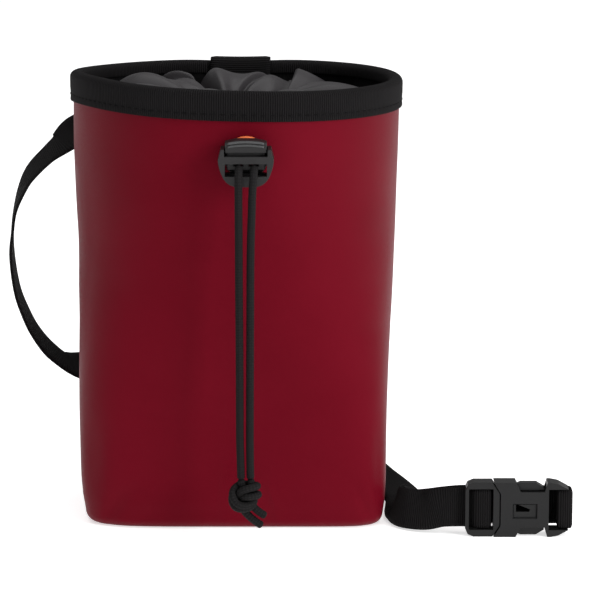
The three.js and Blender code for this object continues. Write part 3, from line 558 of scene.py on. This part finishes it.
def coated_nylon():
    finish, nodes = start_finish("coated_nylon")
    across, along = cloth_place(nodes)
    twill = (across + along).wave(twill_pitch)
    yarn = (across - along * 0.4).wave(twill_pitch * 0.6)
    cloud = speckle(nodes, size=0.03, detail=3.0)
    grain = speckle(nodes, size=0.0009, detail=4.0)
    shade = (cloud * 0.7 + grain * 0.3).colours(shell_red, shell_red_light)
    relief = twill * 0.6 + yarn * 0.2 + grain * 0.5
    end_finish(
        nodes, shade, 0.42 + grain * 0.12 + cloud * 0.05, relief, 0.00006,
        Specular_IOR_Level=0.16, Specular_Tint=(1, 0.12, 0.18, 1),
    )
    return finish


body_cup = patch(cup_rows(outer=0, wall=shell_wall, around=240, up=110))
body = make_piece("padded_body", [body_cup], coated_nylon(), ["bag_shell"])

# The lining: a cup of black fleece inside the body. It shows under the binding at the back.
lining_black = (0.0035, 0.0033, 0.0035)
lining_worn = (0.012, 0.0115, 0.012)


def fleece():
    finish, nodes = start_finish("black_fleece")
    pile = speckle(nodes, size=0.0006, detail=4.0)
    clump = speckle(nodes, size=0.004, detail=2.0)
    shade = (pile * clump).colours(lining_black, lining_worn)
    end_finish(nodes, shade, 0.9 + pile * 0.1, pile + clump, 0.0005, Specular_IOR_Level=0.05)
    return finish


lining_inset = shell_wall + cloth_gap
lining_cup = patch(cup_rows(outer=lining_inset, wall=lining_wall, around=144, up=60))
lining = make_piece("fleece_lining", [lining_cup], fleece(), ["inner_lining"])

# The binding: a black ribbed tape folded over the rim and held by one row of lock stitches.
binding_outside = 0.0111
binding_inside = 0.005
binding_crown = 0.0016
rib_pitch = 0.00085
binding_columns = 600
stitch_height = 0.0024
stitch_thread = 0.0004
stitch_pull = 0.00022
stitch_pull_width = 0.0006
stitch_count = 118
inside_inset = lining_inset + lining_wall
tape_black = (0.002, 0.0017, 0.0019)
# The lighter tape colour is painted highlight on the ribs' raised tops, mixed with fuzz that is lighter at
# random.
tape_rib_highlight_and_fuzz = (0.013, 0.0116, 0.0124)


def binding_profile():
    """The tape's outline as inset and height: up the outside, over the crown, and back inside."""
    outer = -cloth_gap - binding_wall
    inner = inside_inset + cloth_gap + binding_wall
    middle, half = (outer + inner) / 2, (inner - outer) / 2
    hem = bag_height - binding_outside
    inside_hem = bag_height - binding_inside
    fold = bag_height - binding_wall
    outline = [(outer + 0.0001, hem), (outer, hem + 0.0003)]
    outline += [(outer, hem + rise) for rise in (0.002, stitch_height, 0.0028, 0.005, 0.007)]
    crown = binding_crown * 1.6
    for step in range(17):
        angle = math.pi * (1 - step / 16)
        round_part = math.sin(angle) ** 0.8
        outline.append((middle + half * math.cos(angle), bag_height - crown + crown * round_part))
    outline += [(inner, inside_hem + 0.0004), (inner - 0.0002, inside_hem)]
    outline += [(inner - binding_wall + 0.0001, inside_hem), (inner - binding_wall, fold)]
    outline += [(outer + binding_wall, fold), (outer + binding_wall, hem)]
    return outline


def stitch_dip(height):
    """The tape is drawn in by its stitches."""
    away = (height - (bag_height - binding_outside + stitch_height)) / stitch_pull_width
    return stitch_pull * math.exp(-away ** 2)


def ribbed_tape(name, pitch, dark, light):
    """A woven tape with ribs across it."""
    finish, nodes = start_finish(name)
    across, along = cloth_place(nodes)
    ribs = along.wave(pitch)
    yarn = across.wave(pitch * 0.5)
    fuzz = speckle(nodes, size=0.0005, detail=3.0)
    worn = speckle(nodes, size=0.012, detail=2.0)
    # Ribs and cross yarns are painted lighter on their raised tops and darker in the grooves, as highlight
    # and shade; the fuzz is lighter at random.
    shade = (ribs * 0.6 + yarn * 0.15 + fuzz * 0.25 * worn).colours(dark, light)
    relief = ribs + yarn * 0.25 + fuzz * 0.3
    end_finish(nodes, shade, 0.75 + fuzz * 0.2, relief, 0.0003, Specular_IOR_Level=0.1)
    return finish


binding_rows = []
for step in range(binding_columns):
    angle = math.tau * step / binding_columns
    row = []
    for inset, height in binding_profile():
        dip = stitch_dip(height) if inset < 0 else 0
        row.append(bag_point(angle, height, inset + dip))
    binding_rows.append(row)
tape = ribbed_tape("ribbed_tape", rib_pitch, tape_black, tape_rib_highlight_and_fuzz)
binding_band = patch(binding_rows, ends="joined")
binding = make_piece("folded_binding", [binding_band], tape, ["rim_binding"])


def thread_finish():
    finish, nodes = start_finish("black_thread")
    fibre = speckle(nodes, size=0.0002)
    end_finish(
        nodes, fibre.colours(tape_black, cord_black), 0.7 + fibre * 0.2, fibre, 0.00005,
        Specular_IOR_Level=0.08,
    )
    return finish


def stitch(start, end, outwards):
    """One stitch: a short thread that dips into the cloth at both ends."""
    heading = (end - start).normalized()
    side = heading.cross(outwards).normalized()
    rows = []
    for step in range(7):
        share = step / 6
        bow = math.sin(math.pi * share)
        centre = start.lerp(end, share) + outwards * stitch_thread * (0.75 * bow - 0.35)
        thick = stitch_thread / 2 * (0.55 + 0.45 * bow)
        row = []
        for corner in range(6):
            turn = math.tau * corner / 6
            row.append(centre + (outwards * math.sin(turn) + side * math.cos(turn)) * thick)
        rows.append(row)
    return patch(rows)


thread = thread_finish()
stitches = []
for step in range(stitch_count):
    ends = []
    for share in (step + 0.1, step + 0.86):
        angle = math.tau * share / stitch_count
        height = bag_height - binding_outside + stitch_height
        inset = -cloth_gap - binding_wall + stitch_dip(height)
        ends.append(bag_point(angle, height, inset))
    outwards = Vector((ends[0].x / rim_width ** 2, ends[0].y / rim_depth ** 2, 0)).normalized()
    stitches.append(stitch(*ends, outwards))
make_piece("binding_stitches", stitches, thread)

# The closure collar: a ring of thin dark grey nylon sewn inside the rim, drawn together round a small
# hole in the middle, so that it stands up in soft folds.
collar_drop = 0.013
collar_wall = 0.0008
collar_hole = 0.024
collar_puff = 0.011
collar_columns = 480
collar_steps = 40
gather_depth = 0.0016
gather_count = 13
collar_grey = (0.013, 0.0112, 0.0127)
collar_light = (0.027, 0.0238, 0.0265)
# A pleat drops steeply within pleat_edge degrees and rises again over wide degrees. deep is a share of
# collar_puff, and turns is how far it swings round on its way to the hole. pleat_lift, a share of
# collar_puff too, keeps the cloth between the pleats at its height.
Pleat = namedtuple("Pleat", "angle deep wide turns")
collar_pleats = [
    Pleat(14, 0.3, 16, 20),
    Pleat(41, 0.42, 9, -24),
    Pleat(62, 0.3, -7, 30),
    Pleat(79, 0.55, 13, -46),
    Pleat(109, 0.8, -6, 10),
    Pleat(132, 0.5, 8, -22),
    Pleat(163, 0.42, -9, 26),
    Pleat(191, 0.3, 14, 18),
    Pleat(224, 0.4, -15, -20),
    Pleat(262, 0.34, 15, 22),
    Pleat(296, 0.4, 14, -26),
    Pleat(334, 0.34, -14, 20),
]
pleat_edge = 2.2
pleat_lift = 0.24
# angle and wide are degrees round the mouth, rise is a share of collar_puff, and reach is where the
# fold peaks on its way from the wall to the hole.
Fold = namedtuple("Fold", "name angle wide rise reach")
collar_folds = [
    Fold("right slope", 22, 26, 0.15, 0.4),
    Fold("right mound", 66, 18, 0.5, 0.42),
    Fold("centre mound", 102, 12, 0.42, 0.45),
    Fold("pleat", 124, 6, 0.5, 0.45),
    Fold("left mound", 156, 14, 0.42, 0.4),
    Fold("front left mound", 205, 17, 0.3, 0.45),
    Fold("front mound", 258, 15, 0.35, 0.45),
    Fold("front right mound", 308, 16, 0.3, 0.45),
]


def collar_height(angle, share):
    """The height of the collar's soft folds at a share of the way from the wall to the hole."""
    level = bag_height - collar_drop
    dome = collar_puff * 0.45 * math.sin(math.pi * min(share, 0.95))
    folds = 0
    for fold in collar_folds:
        across = math.exp(-((from_angle(angle, fold.angle) / fold.wide) ** 2))
        up = math.sin(math.pi * min(share / (2 * fold.reach), 1))
        folds += fold.rise * collar_puff * across * up
    gathers = gather_depth * share ** 2 * math.cos(gather_count * angle + share)
    tilt = level * rim_rise(angle) * (1 - share)
    return level + dome + folds + gathers + tilt


def pleat_drop(angle, share):
    """How far the pleats draw the collar down there."""
    drop = 0
    for pleat in collar_pleats:
        turned = from_angle(angle, pleat.angle + pleat.turns * share)
        width = pleat.wide if turned * pleat.wide > 0 else pleat_edge
        drop += pleat.deep * collar_puff * math.exp(-((turned / width) ** 2))
    return (drop - pleat_lift * collar_puff) * min(1, share * 5, (1 - share) * 5)


def satin_nylon():
    finish, nodes = start_finish("satin_nylon")
    weave = speckle(nodes, size=0.0004, detail=2.0)
    cloud = speckle(nodes, size=0.01, detail=3.0)
    shade = (cloud * 0.8 + weave * 0.2).colours(collar_grey, collar_light)
    end_finish(nodes, shade, 0.36 + weave * 0.1, weave + cloud * 2, 0.0001, Specular_IOR_Level=0.3)
    return finish


collar_rows = []
for step in range(collar_columns):
    angle = math.tau * step / collar_columns
    wall = bag_point(angle, bag_height - collar_drop, inside_inset + cloth_gap)
    hole = Vector((math.cos(angle), math.sin(angle), 0)) * collar_hole / 2
    top, under = [], []
    for row in range(collar_steps + 1):
        share = row / collar_steps
        point = wall.lerp(hole, share)
        point.z = collar_height(angle, share) - pleat_drop(angle, share)
        top.append(point)
        under.append(point - Vector((0, 0, collar_wall)))
    collar_rows.append(top + under[::-1])
collar_ring = patch(collar_rows, ends="joined")
collar = make_piece("gathered_collar", [collar_ring], satin_nylon(), ["closure_collar"])

# The back strap: 24 mm webbing folded over the back of the rim and sewn down the back, with a loop
# left open that the waist belt runs through.
belt_width = 0.015
webbing_wall = 0.0012
webbing_gap = 0.0004
selvedge_start = 0.94
webbing_rib_pitch = 0.0008
strap_width = 0.024
strap_centre = 0.0006
strap_drop = 0.0486
strap_inside_drop = 0.011
loop_height = bag_height - 0.0271
loop_room = 0.0012
loop_slope = 0.004
webbing_black = (0.002, 0.0018, 0.0019)
# The lighter webbing colour is painted highlight on the ribs' raised tops, mixed with fuzz that is lighter
# at random.
webbing_rib_highlight_and_fuzz = (0.012, 0.0108, 0.0114)


def back_angle(x, height, inset):
    """The angle at which the back of the bag has this x."""
    section = section_at(height)
    share = (x - section.shift) / (section.width / 2 - inset)
    return math.acos(math.copysign(abs(share) ** (section.back / 2), share))


def strap_route():
    """The middle of the strap's thickness as inset and height, from inside the rim to its lower end."""
    half = webbing_wall / 2
    outside = -cloth_gap * 2 - binding_wall - half
    inside = inside_inset + cloth_gap * 2 + binding_wall + half
    loop_out = -cloth_gap - webbing_gap - webbing_wall * 1.5 - loop_room
    flat = -cloth_gap - half
    reach = belt_width / 2 + webbing_gap * 2
    crown = bag_height + cloth_gap + half
    return [
        (inside, bag_height - strap_inside_drop),
        (inside, bag_height - binding_crown),
        (inside - binding_wall, crown - 0.0002),
        ((inside + outside) / 2, crown),
        (outside + binding_wall, crown - 0.0002),
        (outside, bag_height - binding_crown),
        (outside, bag_height - binding_outside - cloth_gap),
        (loop_out, loop_height + reach),
        (loop_out, loop_height - reach),
        (flat, loop_height - reach - loop_slope),
        (flat, bag_height - strap_drop),
    ]


# The outline of a webbing's cut end, with its selvedges rounded, as shares of its half width and wall.
webbing_outline = []
for sign in (1, -1):
    for step in range(13):
        share = step / 12 * 2 - 1
        edge = 1 - max(0, abs(share) - selvedge_start) / (1 - selvedge_start)
        webbing_outline.append((share * sign, (0.35 + 0.65 * edge) * sign))
strap_points = smooth_curve([Vector((inset, height, 0)) for inset, height in strap_route()], 8)
strap_rows = []
for index, point in enumerate(strap_points):
    ring = []
    before, after = strap_points[max(index - 1, 0)], strap_points[min(index + 1, len(strap_points) - 1)]
    heading = (after - before).normalized()
    away = Vector((-heading.y, heading.x, 0))
    for share, thick in webbing_outline:
        place = point + away * thick * webbing_wall / 2
        x = strap_centre + strap_width / 2 * share
        ring.append(bag_point(back_angle(x, place.y, place.x), place.y, place.x))
    strap_rows.append(ring)
webbing = ribbed_tape("black_webbing", webbing_rib_pitch, webbing_black, webbing_rib_highlight_and_fuzz)
strap = make_piece("folded_back_strap", [patch(strap_rows)], webbing, ["back_strap"])

# The side-release buckle: two moulded halves in black plastic that stay clipped together. The female
# half has a shallow tapered recess in its face.
buckle_low, buckle_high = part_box("buckle_male")
female_low, female_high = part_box("buckle_female")
buckle_left = Vector((buckle_low.x, (buckle_low.y + buckle_high.y) / 2, (buckle_low.z + buckle_high.z) / 2))


def moulded(name, dark, light, roughness):
    """Moulded plastic with a fine grain."""
    finish, nodes = start_finish(name)
    grain = speckle(nodes, size=0.0003, detail=3.0)
    cloud = speckle(nodes, size=0.006, detail=2.0)
    shade = (cloud * 0.6 + grain * 0.4).colours(dark, light)
    end_finish(nodes, shade, roughness + grain * 0.1, grain, 0.00003, Specular_IOR_Level=0.26)
    return finish


buckle_plastic = moulded("buckle_plastic", (0.0045, 0.0045, 0.0047), (0.007, 0.007, 0.0073), 0.36)
lock_plastic = moulded("lock_plastic", (0.0105, 0.01, 0.0104), (0.016, 0.0152, 0.0158), 0.36)


def rounded_copy(node, name, radius, finish, body="bag", holes=()):
    """A moulded piece in its solid's form, with tapered recesses cut in and its edges rounded."""
    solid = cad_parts[node]
    mesh = solid.data.copy()
    mesh.transform(solid.matrix_world)
    edges = bmesh.new()
    edges.from_mesh(mesh)
    bmesh.ops.remove_doubles(edges, verts=edges.verts, dist=0.00001)
    bmesh.ops.dissolve_limit(edges, angle_limit=math.radians(1), verts=edges.verts, edges=edges.edges)
    edges.to_mesh(mesh)
    edges.free()
    draft = bpy.data.objects.new(name + "_draft", mesh)
    bpy.context.scene.collection.objects.link(draft)
    for cutter in holes:
        cut = draft.modifiers.new("recess", "BOOLEAN")
        cut.operation = "DIFFERENCE"
        cut.solver = "EXACT"
        cut.object = cutter
    rounding = draft.modifiers.new("rounding", "BEVEL")
    rounding.width = radius
    rounding.segments = 3
    rounding.limit_method = "ANGLE"
    rounding.angle_limit = math.radians(28)
    rounding.harden_normals = True
    rounded = draft.evaluated_get(bpy.context.evaluated_depsgraph_get())
    shaped = bpy.data.meshes.new_from_object(rounded)
    bpy.data.objects.remove(draft)
    for cutter in holes:
        bpy.data.objects.remove(cutter)
    shaped.name = name
    shaped.materials.clear()
    shaped.materials.append(finish)
    for face in shaped.polygons:
        face.material_index = 0
    piece = bpy.data.objects.new(name, shaped)
    bpy.context.scene.collection.objects.link(piece)
    return dress(piece, [node], body)


def tapered_cutter(corners, front, depth, spread):
    """A cutter whose mouth is wider than its floor. corners are along and above the buckle's left end."""
    middle_x = sum(along for along, _ in corners) / len(corners)
    middle_z = sum(above for _, above in corners) / len(corners)
    points = []
    for y, grown in ((front - depth, spread * 2), (front + depth, 0)):
        for along, above in corners:
            x = along + math.copysign(grown, along - middle_x)
            z = above + math.copysign(grown, above - middle_z)
            points.append(buckle_left + Vector((x, y, z)))
    count = len(corners)
    faces = [tuple(range(count)), tuple(reversed(range(count, 2 * count)))]
    for side in range(count):
        beside = (side + 1) % count
        faces.append((side, count + side, count + beside, beside))
    mesh = bpy.data.meshes.new("cutter")
    mesh.from_pydata(points, [], faces)
    cutter_form = bmesh.new()
    cutter_form.from_mesh(mesh)
    bmesh.ops.recalc_face_normals(cutter_form, faces=cutter_form.faces)
    cutter_form.to_mesh(mesh)
    cutter_form.free()
    cutter = bpy.data.objects.new("cutter", mesh)
    bpy.context.scene.collection.objects.link(cutter)
    return cutter


recess_corners = [(0.0185, -0.0029), (0.0267, -0.0029), (0.0267, 0.0018), (0.0185, 0.0018)]
recess = tapered_cutter(recess_corners, front=female_low.y - buckle_left.y, depth=0.0009, spread=0.0006)
rounded_copy(
    "buckle_male", "buckle_male_moulding", radius=0.00045, finish=buckle_plastic,
)
rounded_copy(
    "buckle_female", "buckle_female_moulding", radius=0.00055, finish=buckle_plastic,
    holes=[recess],
)

# The cord lock: a grey housing in an orange eyelet, and a spring button that pinches the cords. The
# eyelet's lower half, where the cords come through the wall, is painted near black as shade. The
# button has two grips, painted lighter as highlight.
eyelet_low, eyelet_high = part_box("lock_eyelet")
eyelet_orange = (0.75, 0.16, 0.05)
eyelet_orange_light = (0.85, 0.2, 0.065)
# The eyelet's near black colours are painted shade for its lower half.
eyelet_painted_shade = (0.004, 0.004, 0.004)
eyelet_lighter_painted_shade = (0.006, 0.006, 0.006)
eyelet_sharpness = 1500
button_low, button_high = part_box("lock_plunger")
grip_radius = 0.00045
grip_sides = 10
grip_steps = 20
grip_margin = 0.001
grip_arch = 0.0006
grip_drops = (0.0009, 0.0021)


def eyelet_with_painted_shade():
    finish, nodes = start_finish("eyelet_plastic")
    place = nodes.node("ShaderNodeTexCoord", output="Object")
    height = nodes.node("ShaderNodeSeparateXYZ", {}, {"Vector": place}, "Z")
    above = (height - (eyelet_low.z + eyelet_high.z) / 2) * eyelet_sharpness
    above = above.sum("MAXIMUM", above.sum("MINIMUM", above, 1), 0)
    grain = speckle(nodes, size=0.0003, detail=3.0)
    orange = grain.colours(eyelet_orange, eyelet_orange_light)
    # Below the eyelet's middle height it is painted near black as shade; above it, it is orange.
    shade = above.colours(grain.colours(eyelet_painted_shade, eyelet_lighter_painted_shade), orange)
    end_finish(nodes, shade, 0.4 + grain * 0.1, grain, 0.00003, Specular_IOR_Level=0.26)
    return finish


rounded_copy(
    "lock_housing", "lock_housing_moulding", radius=0.00055, finish=lock_plastic,
)
rounded_copy(
    "lock_plunger", "lock_button_moulding", radius=0.0004, finish=lock_plastic,
    body="plunger",
)
grips = []
for below in grip_drops:
    rows = []
    for step in range(grip_steps + 1):
        share = step / grip_steps
        x = button_low.x + grip_margin + (button_high.x - button_low.x - grip_margin * 2) * share
        z = button_high.z - below - grip_arch * (share * 2 - 1) ** 2
        ring = []
        for corner in range(grip_sides):
            angle = math.tau * corner / grip_sides
            y = button_low.y + grip_radius * math.cos(angle)
            ring.append(Vector((x, y, z + grip_radius * math.sin(angle))))
        rows.append(ring)
    grips.append(patch(rows))
# The grips are coloured several times lighter than the button's plastic: painted highlight for the light on
# the button's top ridges.
grip_painted_highlight = moulded("grip_painted_highlight", (0.045, 0.046, 0.047), (0.07, 0.071, 0.072), 0.4)
make_piece("lock_button_grips", grips, grip_painted_highlight, body="plunger")
rounded_copy(
    "lock_eyelet", "lock_eyelet_moulding", radius=0.0003, finish=eyelet_with_painted_shade(),
)

# The waist belt: one length of 15 mm webbing. It runs from its free end round the male bar, along the
# floor beside the bag, up its back through the strap's loop, out in a bulge on the left, across the
# back again and under its first strand to the female bar.
belt_curve_steps = 10
seat_gap = 0.0003
wrap = seat_gap + webbing_wall / 2
male_bar_start = 0.0048
male_bar_end = male_bar_start + 0.0038
male_bar_half = 0.0011
male_wrap = male_bar_half + wrap
frame_bar = 0.0014
layer = webbing_wall + seat_gap
band_behind = webbing_wall / 2 - 0.00015
buckle_length = female_high.x - buckle_low.x
end_bar_half = 0.0014
end_wrap = end_bar_half + wrap
end_bar_start = buckle_length - 0.003
behind_buckle = (female_high.y - female_low.y) / 2 + webbing_gap + webbing_wall / 2

# A buckle row is along, behind and above the buckle's left end, and face is how the webbing looks.
male_rows = [
    (-0.0132, band_behind + layer + 0.0037, -0.0022, (0.2, 0.92, -0.25)),
    (-0.0087, band_behind + layer + 0.0019, -0.0009, (0.2, 1, -0.15)),
    (-0.002, band_behind + layer, 0, (0, 1, 0)),
    (0.004, male_wrap, 0, (0, 1, 0)),
    (male_bar_end - wrap * 0.2, male_wrap, 0, (0, 1, 0)),
    (male_bar_end + wrap * 0.8, male_bar_half + wrap * 0.6, 0, (1, 0.9, 0)),
    (male_bar_end + wrap, 0, 0, (1, 0, 0)),
    (male_bar_end + wrap * 0.8, -male_bar_half - wrap * 0.6, 0, (1, -0.9, 0)),
    (male_bar_end - wrap * 0.2, -male_wrap, 0, (0, -1, 0)),
    (male_bar_start + 0.0004, -male_wrap, 0, (0, -1, 0)),
    (male_bar_start - 0.001, -male_wrap * 0.74, 0, (-0.5, -1, 0)),
    (frame_bar + 0.0008, 0, 0, (-0.6, -1, 0)),
    (0.0004, band_behind, 0, (-0.1, -1, 0)),
    (-0.004, band_behind, 0, (0, -1, 0)),
    (-0.009, band_behind + 0.0013, -0.0004, (-0.2, -1, 0.15)),
    (-0.015, band_behind + 0.0038, -0.0022, (-0.3, -0.9, 0.3)),
]
# A bag row is an angle in degrees, a share of bag_height and a stand-off from the cloth. Two strands
# share the first way, from the buckle to the back: the second one lies under the first.
strand_spacing = webbing_wall + webbing_gap * 2
shared_rows = [
    (-14.6, 0.0478, 0.0081, (-0.65, -0.75, 0.2)),
    (-9.1, 0.0478, 0.0046, (-0.93, -0.3, 0.2)),
    (-1.9, 0.0472, 0.0044, (-0.85, 0.1, 0.45)),
    (-0.1, 0.0389, 0.0064, (-0.6, 0.15, 0.78)),
    (0.8, 0.0277, 0.0087, (-0.25, 0.05, 0.97)),
    (6.6, 0.0212, 0.0096, (0, 0, 1)),
    (14.8, 0.02, 0.0091, (0, 0, 1)),
    (23.1, 0.0225, 0.0081, (-0.08, -0.08, 1)),
    (32.2, 0.0285, 0.0071, (-0.2, -0.22, 0.95)),
    (40.5, 0.0448, 0.0057, (-0.34, -0.45, 0.82)),
    (47.8, 0.0767, 0.0039, (-0.46, -0.68, 0.57)),
    (53, 0.1209, 0.0026, (-0.42, -0.85, 0.3)),
]
back_and_left_rows = [
    (57.1, 0.183, 0.0016, (-0.3, -0.95, 0.05)),
    (62.6, 0.313, 0.0014, (-0.25, -0.97, 0)),
    (64, 0.46, 0.0014, (-0.22, -0.98, 0)),
    (65, 0.608, 0.0014, (-0.25, -0.97, 0)),
    (65.5, 0.76, 0.002, (-0.35, -0.95, 0)),
    (71.5, 0.828, 0.0015, (-0.2, -1, 0)),
    (79.5, loop_height / bag_height, 0.0014, (-0.1, -1, 0)),
    (89.6, loop_height / bag_height, 0.0014, (0, -1, 0)),
    (99.3, loop_height / bag_height, 0.0014, (0.1, -1, 0)),
    (118.7, 0.844, 0.0016, (0.4, -0.9, 0)),
    (138.3, 0.848, 0.0026, (0.35, -0.88, 0.25)),
    (152.5, 0.844, 0.0066, (0.1, -0.85, 0.45)),
    (162.8, 0.826, 0.0084, (-0.36, -0.56, 0.75)),
    (165, 0.799, 0.0138, (-0.57, -0.39, 0.72)),
    (166.8, 0.75, 0.0216, (-0.81, -0.32, 0.48)),
    (167.3, 0.711, 0.0252, (-0.89, -0.22, 0.39)),
    (167.5, 0.665, 0.0281, (-0.95, -0.1, 0.3)),
    (167.3, 0.618, 0.0296, (-0.98, -0.08, 0.17)),
    (166.9, 0.566, 0.0304, (-1, -0.01, -0.05)),
    (165.6, 0.477, 0.0292, (-0.98, 0.04, -0.2)),
    (164.4, 0.43, 0.027, (-0.94, 0.08, -0.34)),
    (162.8, 0.382, 0.0236, (-0.85, 0.12, -0.5)),
    (160.3, 0.334, 0.018, (-0.7, 0.18, -0.69)),
    (157.1, 0.302, 0.0114, (-0.62, 0.22, -0.75)),
    (141.8, 0.274, 0.0108, (-0.5, 0.6, -0.6)),
    (131.8, 0.256, 0.0036, (-0.5, 0.85, -0.25)),
    (110.4, 0.242, 0.0032, (-0.2, 0.98, 0)),
    (92.1, 0.216, 0.0032, (0, 1, 0)),
    (78.7, 0.18, 0.0032, (0.1, 1, 0)),
    (63.3, 0.133, 0.0036, (0.4, 0.9, -0.1)),
]
female_rows = [
    (-0.0143, behind_buckle + 0.0033, -0.0024, (0.3, 0.9, -0.3)),
    (-0.007, behind_buckle + 0.0015, -0.001, (0.15, 1, -0.15)),
    (0, behind_buckle + 0.0005, 0, (0.1, 1, 0)),
    (0.014, behind_buckle, 0, (0, 1, 0)),
    (0.03, behind_buckle, 0, (0, 1, 0)),
    (end_bar_start + 0.0014, behind_buckle, 0, (0.1, 1, 0)),
    (buckle_length + 0.0002, behind_buckle - 0.0009, 0, (0.7, 0.7, 0)),
    (buckle_length + wrap, behind_buckle - 0.0026, 0, (1, 0.1, 0)),
    (buckle_length + wrap, -end_bar_half * 0.3, 0, (1, 0, 0)),
    (buckle_length + wrap * 0.8, -end_bar_half - wrap * 0.6, 0, (0.9, -1, 0)),
    (buckle_length - wrap * 0.2, -end_wrap, 0, (0, -1, 0)),
    (end_bar_start + wrap * 0.2, -end_wrap, 0, (0, -1, 0)),
    (end_bar_start - wrap * 0.8, -end_bar_half - wrap * 0.6, 0, (-0.9, -1, 0)),
    (end_bar_start - wrap, 0, 0, (-1, 0, 0)),
    (end_bar_start - wrap * 0.8, end_bar_half + wrap * 0.6, 0, (-0.9, 1, 0)),
    (end_bar_start + wrap * 0.2, end_wrap, 0, (0, 1, 0)),
    (end_bar_start + wrap * 1.6, end_wrap, 0, (0, 1, 0)),
]


def at_buckle(row):
    """A buckle row's place and face."""
    return buckle_left + Vector(row[:3]), Vector(row[3]).normalized()


def at_bag(row):
    """A bag row's place and face."""
    angle, share, stand_off, face = row
    return bag_point(math.radians(angle), share * bag_height, -stand_off), Vector(face).normalized()


shared = [at_bag(row) for row in shared_rows]
over, under = [], []
for index, (place, face) in enumerate(shared):
    after, before = shared[min(index + 1, len(shared) - 1)][0], shared[max(index - 1, 0)][0]
    heading = (after - before).normalized()
    square_face = (face - heading * face.dot(heading)).normalized()
    over.append((place, square_face))
    under.insert(0, (place - square_face * strand_spacing, -square_face))
belt_stations = [at_buckle(row) for row in male_rows] + over
belt_stations += [at_bag(row) for row in back_and_left_rows] + under
belt_stations += [at_buckle(row) for row in female_rows]
belt_line = smooth_curve([place for place, _ in belt_stations], belt_curve_steps)
belt_looks = smooth_curve([face for _, face in belt_stations], belt_curve_steps)
belt_rows = []
for index, centre in enumerate(belt_line):
    heading = belt_line[min(index + 1, len(belt_line) - 1)] - belt_line[max(index - 1, 0)]
    heading.normalize()
    face = belt_looks[index] - heading * belt_looks[index].dot(heading)
    face.normalize()
    half_side = heading.cross(face) * belt_width / 2
    half_face = face * webbing_wall / 2
    belt_rows.append([centre + half_side * share + half_face * thick for share, thick in webbing_outline])
belt_length = sum((there - here).length for here, there in zip(belt_line, belt_line[1:]))
belt = make_piece("waist_belt_webbing", [patch(belt_rows)], webbing, ["waist_belt"])

# The table: a wide white sweep under a large soft lamp, with a smaller one from the right that makes
# the red lighter on that side.
floor_reach = 6.0
floor_corners = [(-1, -1), (1, -1), (1, 1), (-1, 1)]
table_white = (0.86, 0.86, 0.86)
table_white_light = (0.88, 0.88, 0.88)
floor_mesh = bpy.data.meshes.new("white_table")
floor_points = [(x * floor_reach, y * floor_reach, 0) for x, y in floor_corners]
floor_mesh.from_pydata(floor_points, [], [(0, 1, 2, 3)])
table_finish, table_nodes = start_finish("white_table")
table_grain = speckle(table_nodes, size=0.4)
end_finish(
    table_nodes, table_grain.colours(table_white, table_white_light), 0.6 + table_grain * 0.1,
    table_grain, 0.00001, Specular_IOR_Level=0.1, Emission_Color=(1, 1, 1, 1), Emission_Strength=0.6,
)
floor_mesh.materials.append(table_finish)
table = bpy.data.objects.new("white_table", floor_mesh)
bpy.context.scene.collection.objects.link(table)


def soft_lamp(name, place, aim, size, watts):
    """A wide lamp turned towards a point."""
    data = bpy.data.lights.new(name, "AREA")
    data.shape = "RECTANGLE"
    data.size, data.size_y = size
    data.energy = watts
    lamp = bpy.data.objects.new(name, data)
    lamp.location = place
    lamp.rotation_euler = (Vector(aim) - Vector(place)).to_track_quat("-Z", "Y").to_euler()
    bpy.context.scene.collection.objects.link(lamp)


soft_lamp("overhead_lamp", place=(0, 0.1, 1.9), aim=(0, 0, 0), size=(2.4, 2.4), watts=30)
soft_lamp("right_lamp", place=(1.1, -0.9, 0.6), aim=(0, 0, 0.08), size=(0.5, 0.9), watts=17)
world = bpy.data.worlds.new("studio")
world.use_nodes = True
backdrop = world.node_tree.nodes["Background"]
backdrop.inputs["Color"].default_value = (1, 1, 1, 1)
backdrop.inputs["Strength"].default_value = 0.3
bpy.context.scene.world = world
bpy.context.scene.view_settings.view_transform = "Standard"
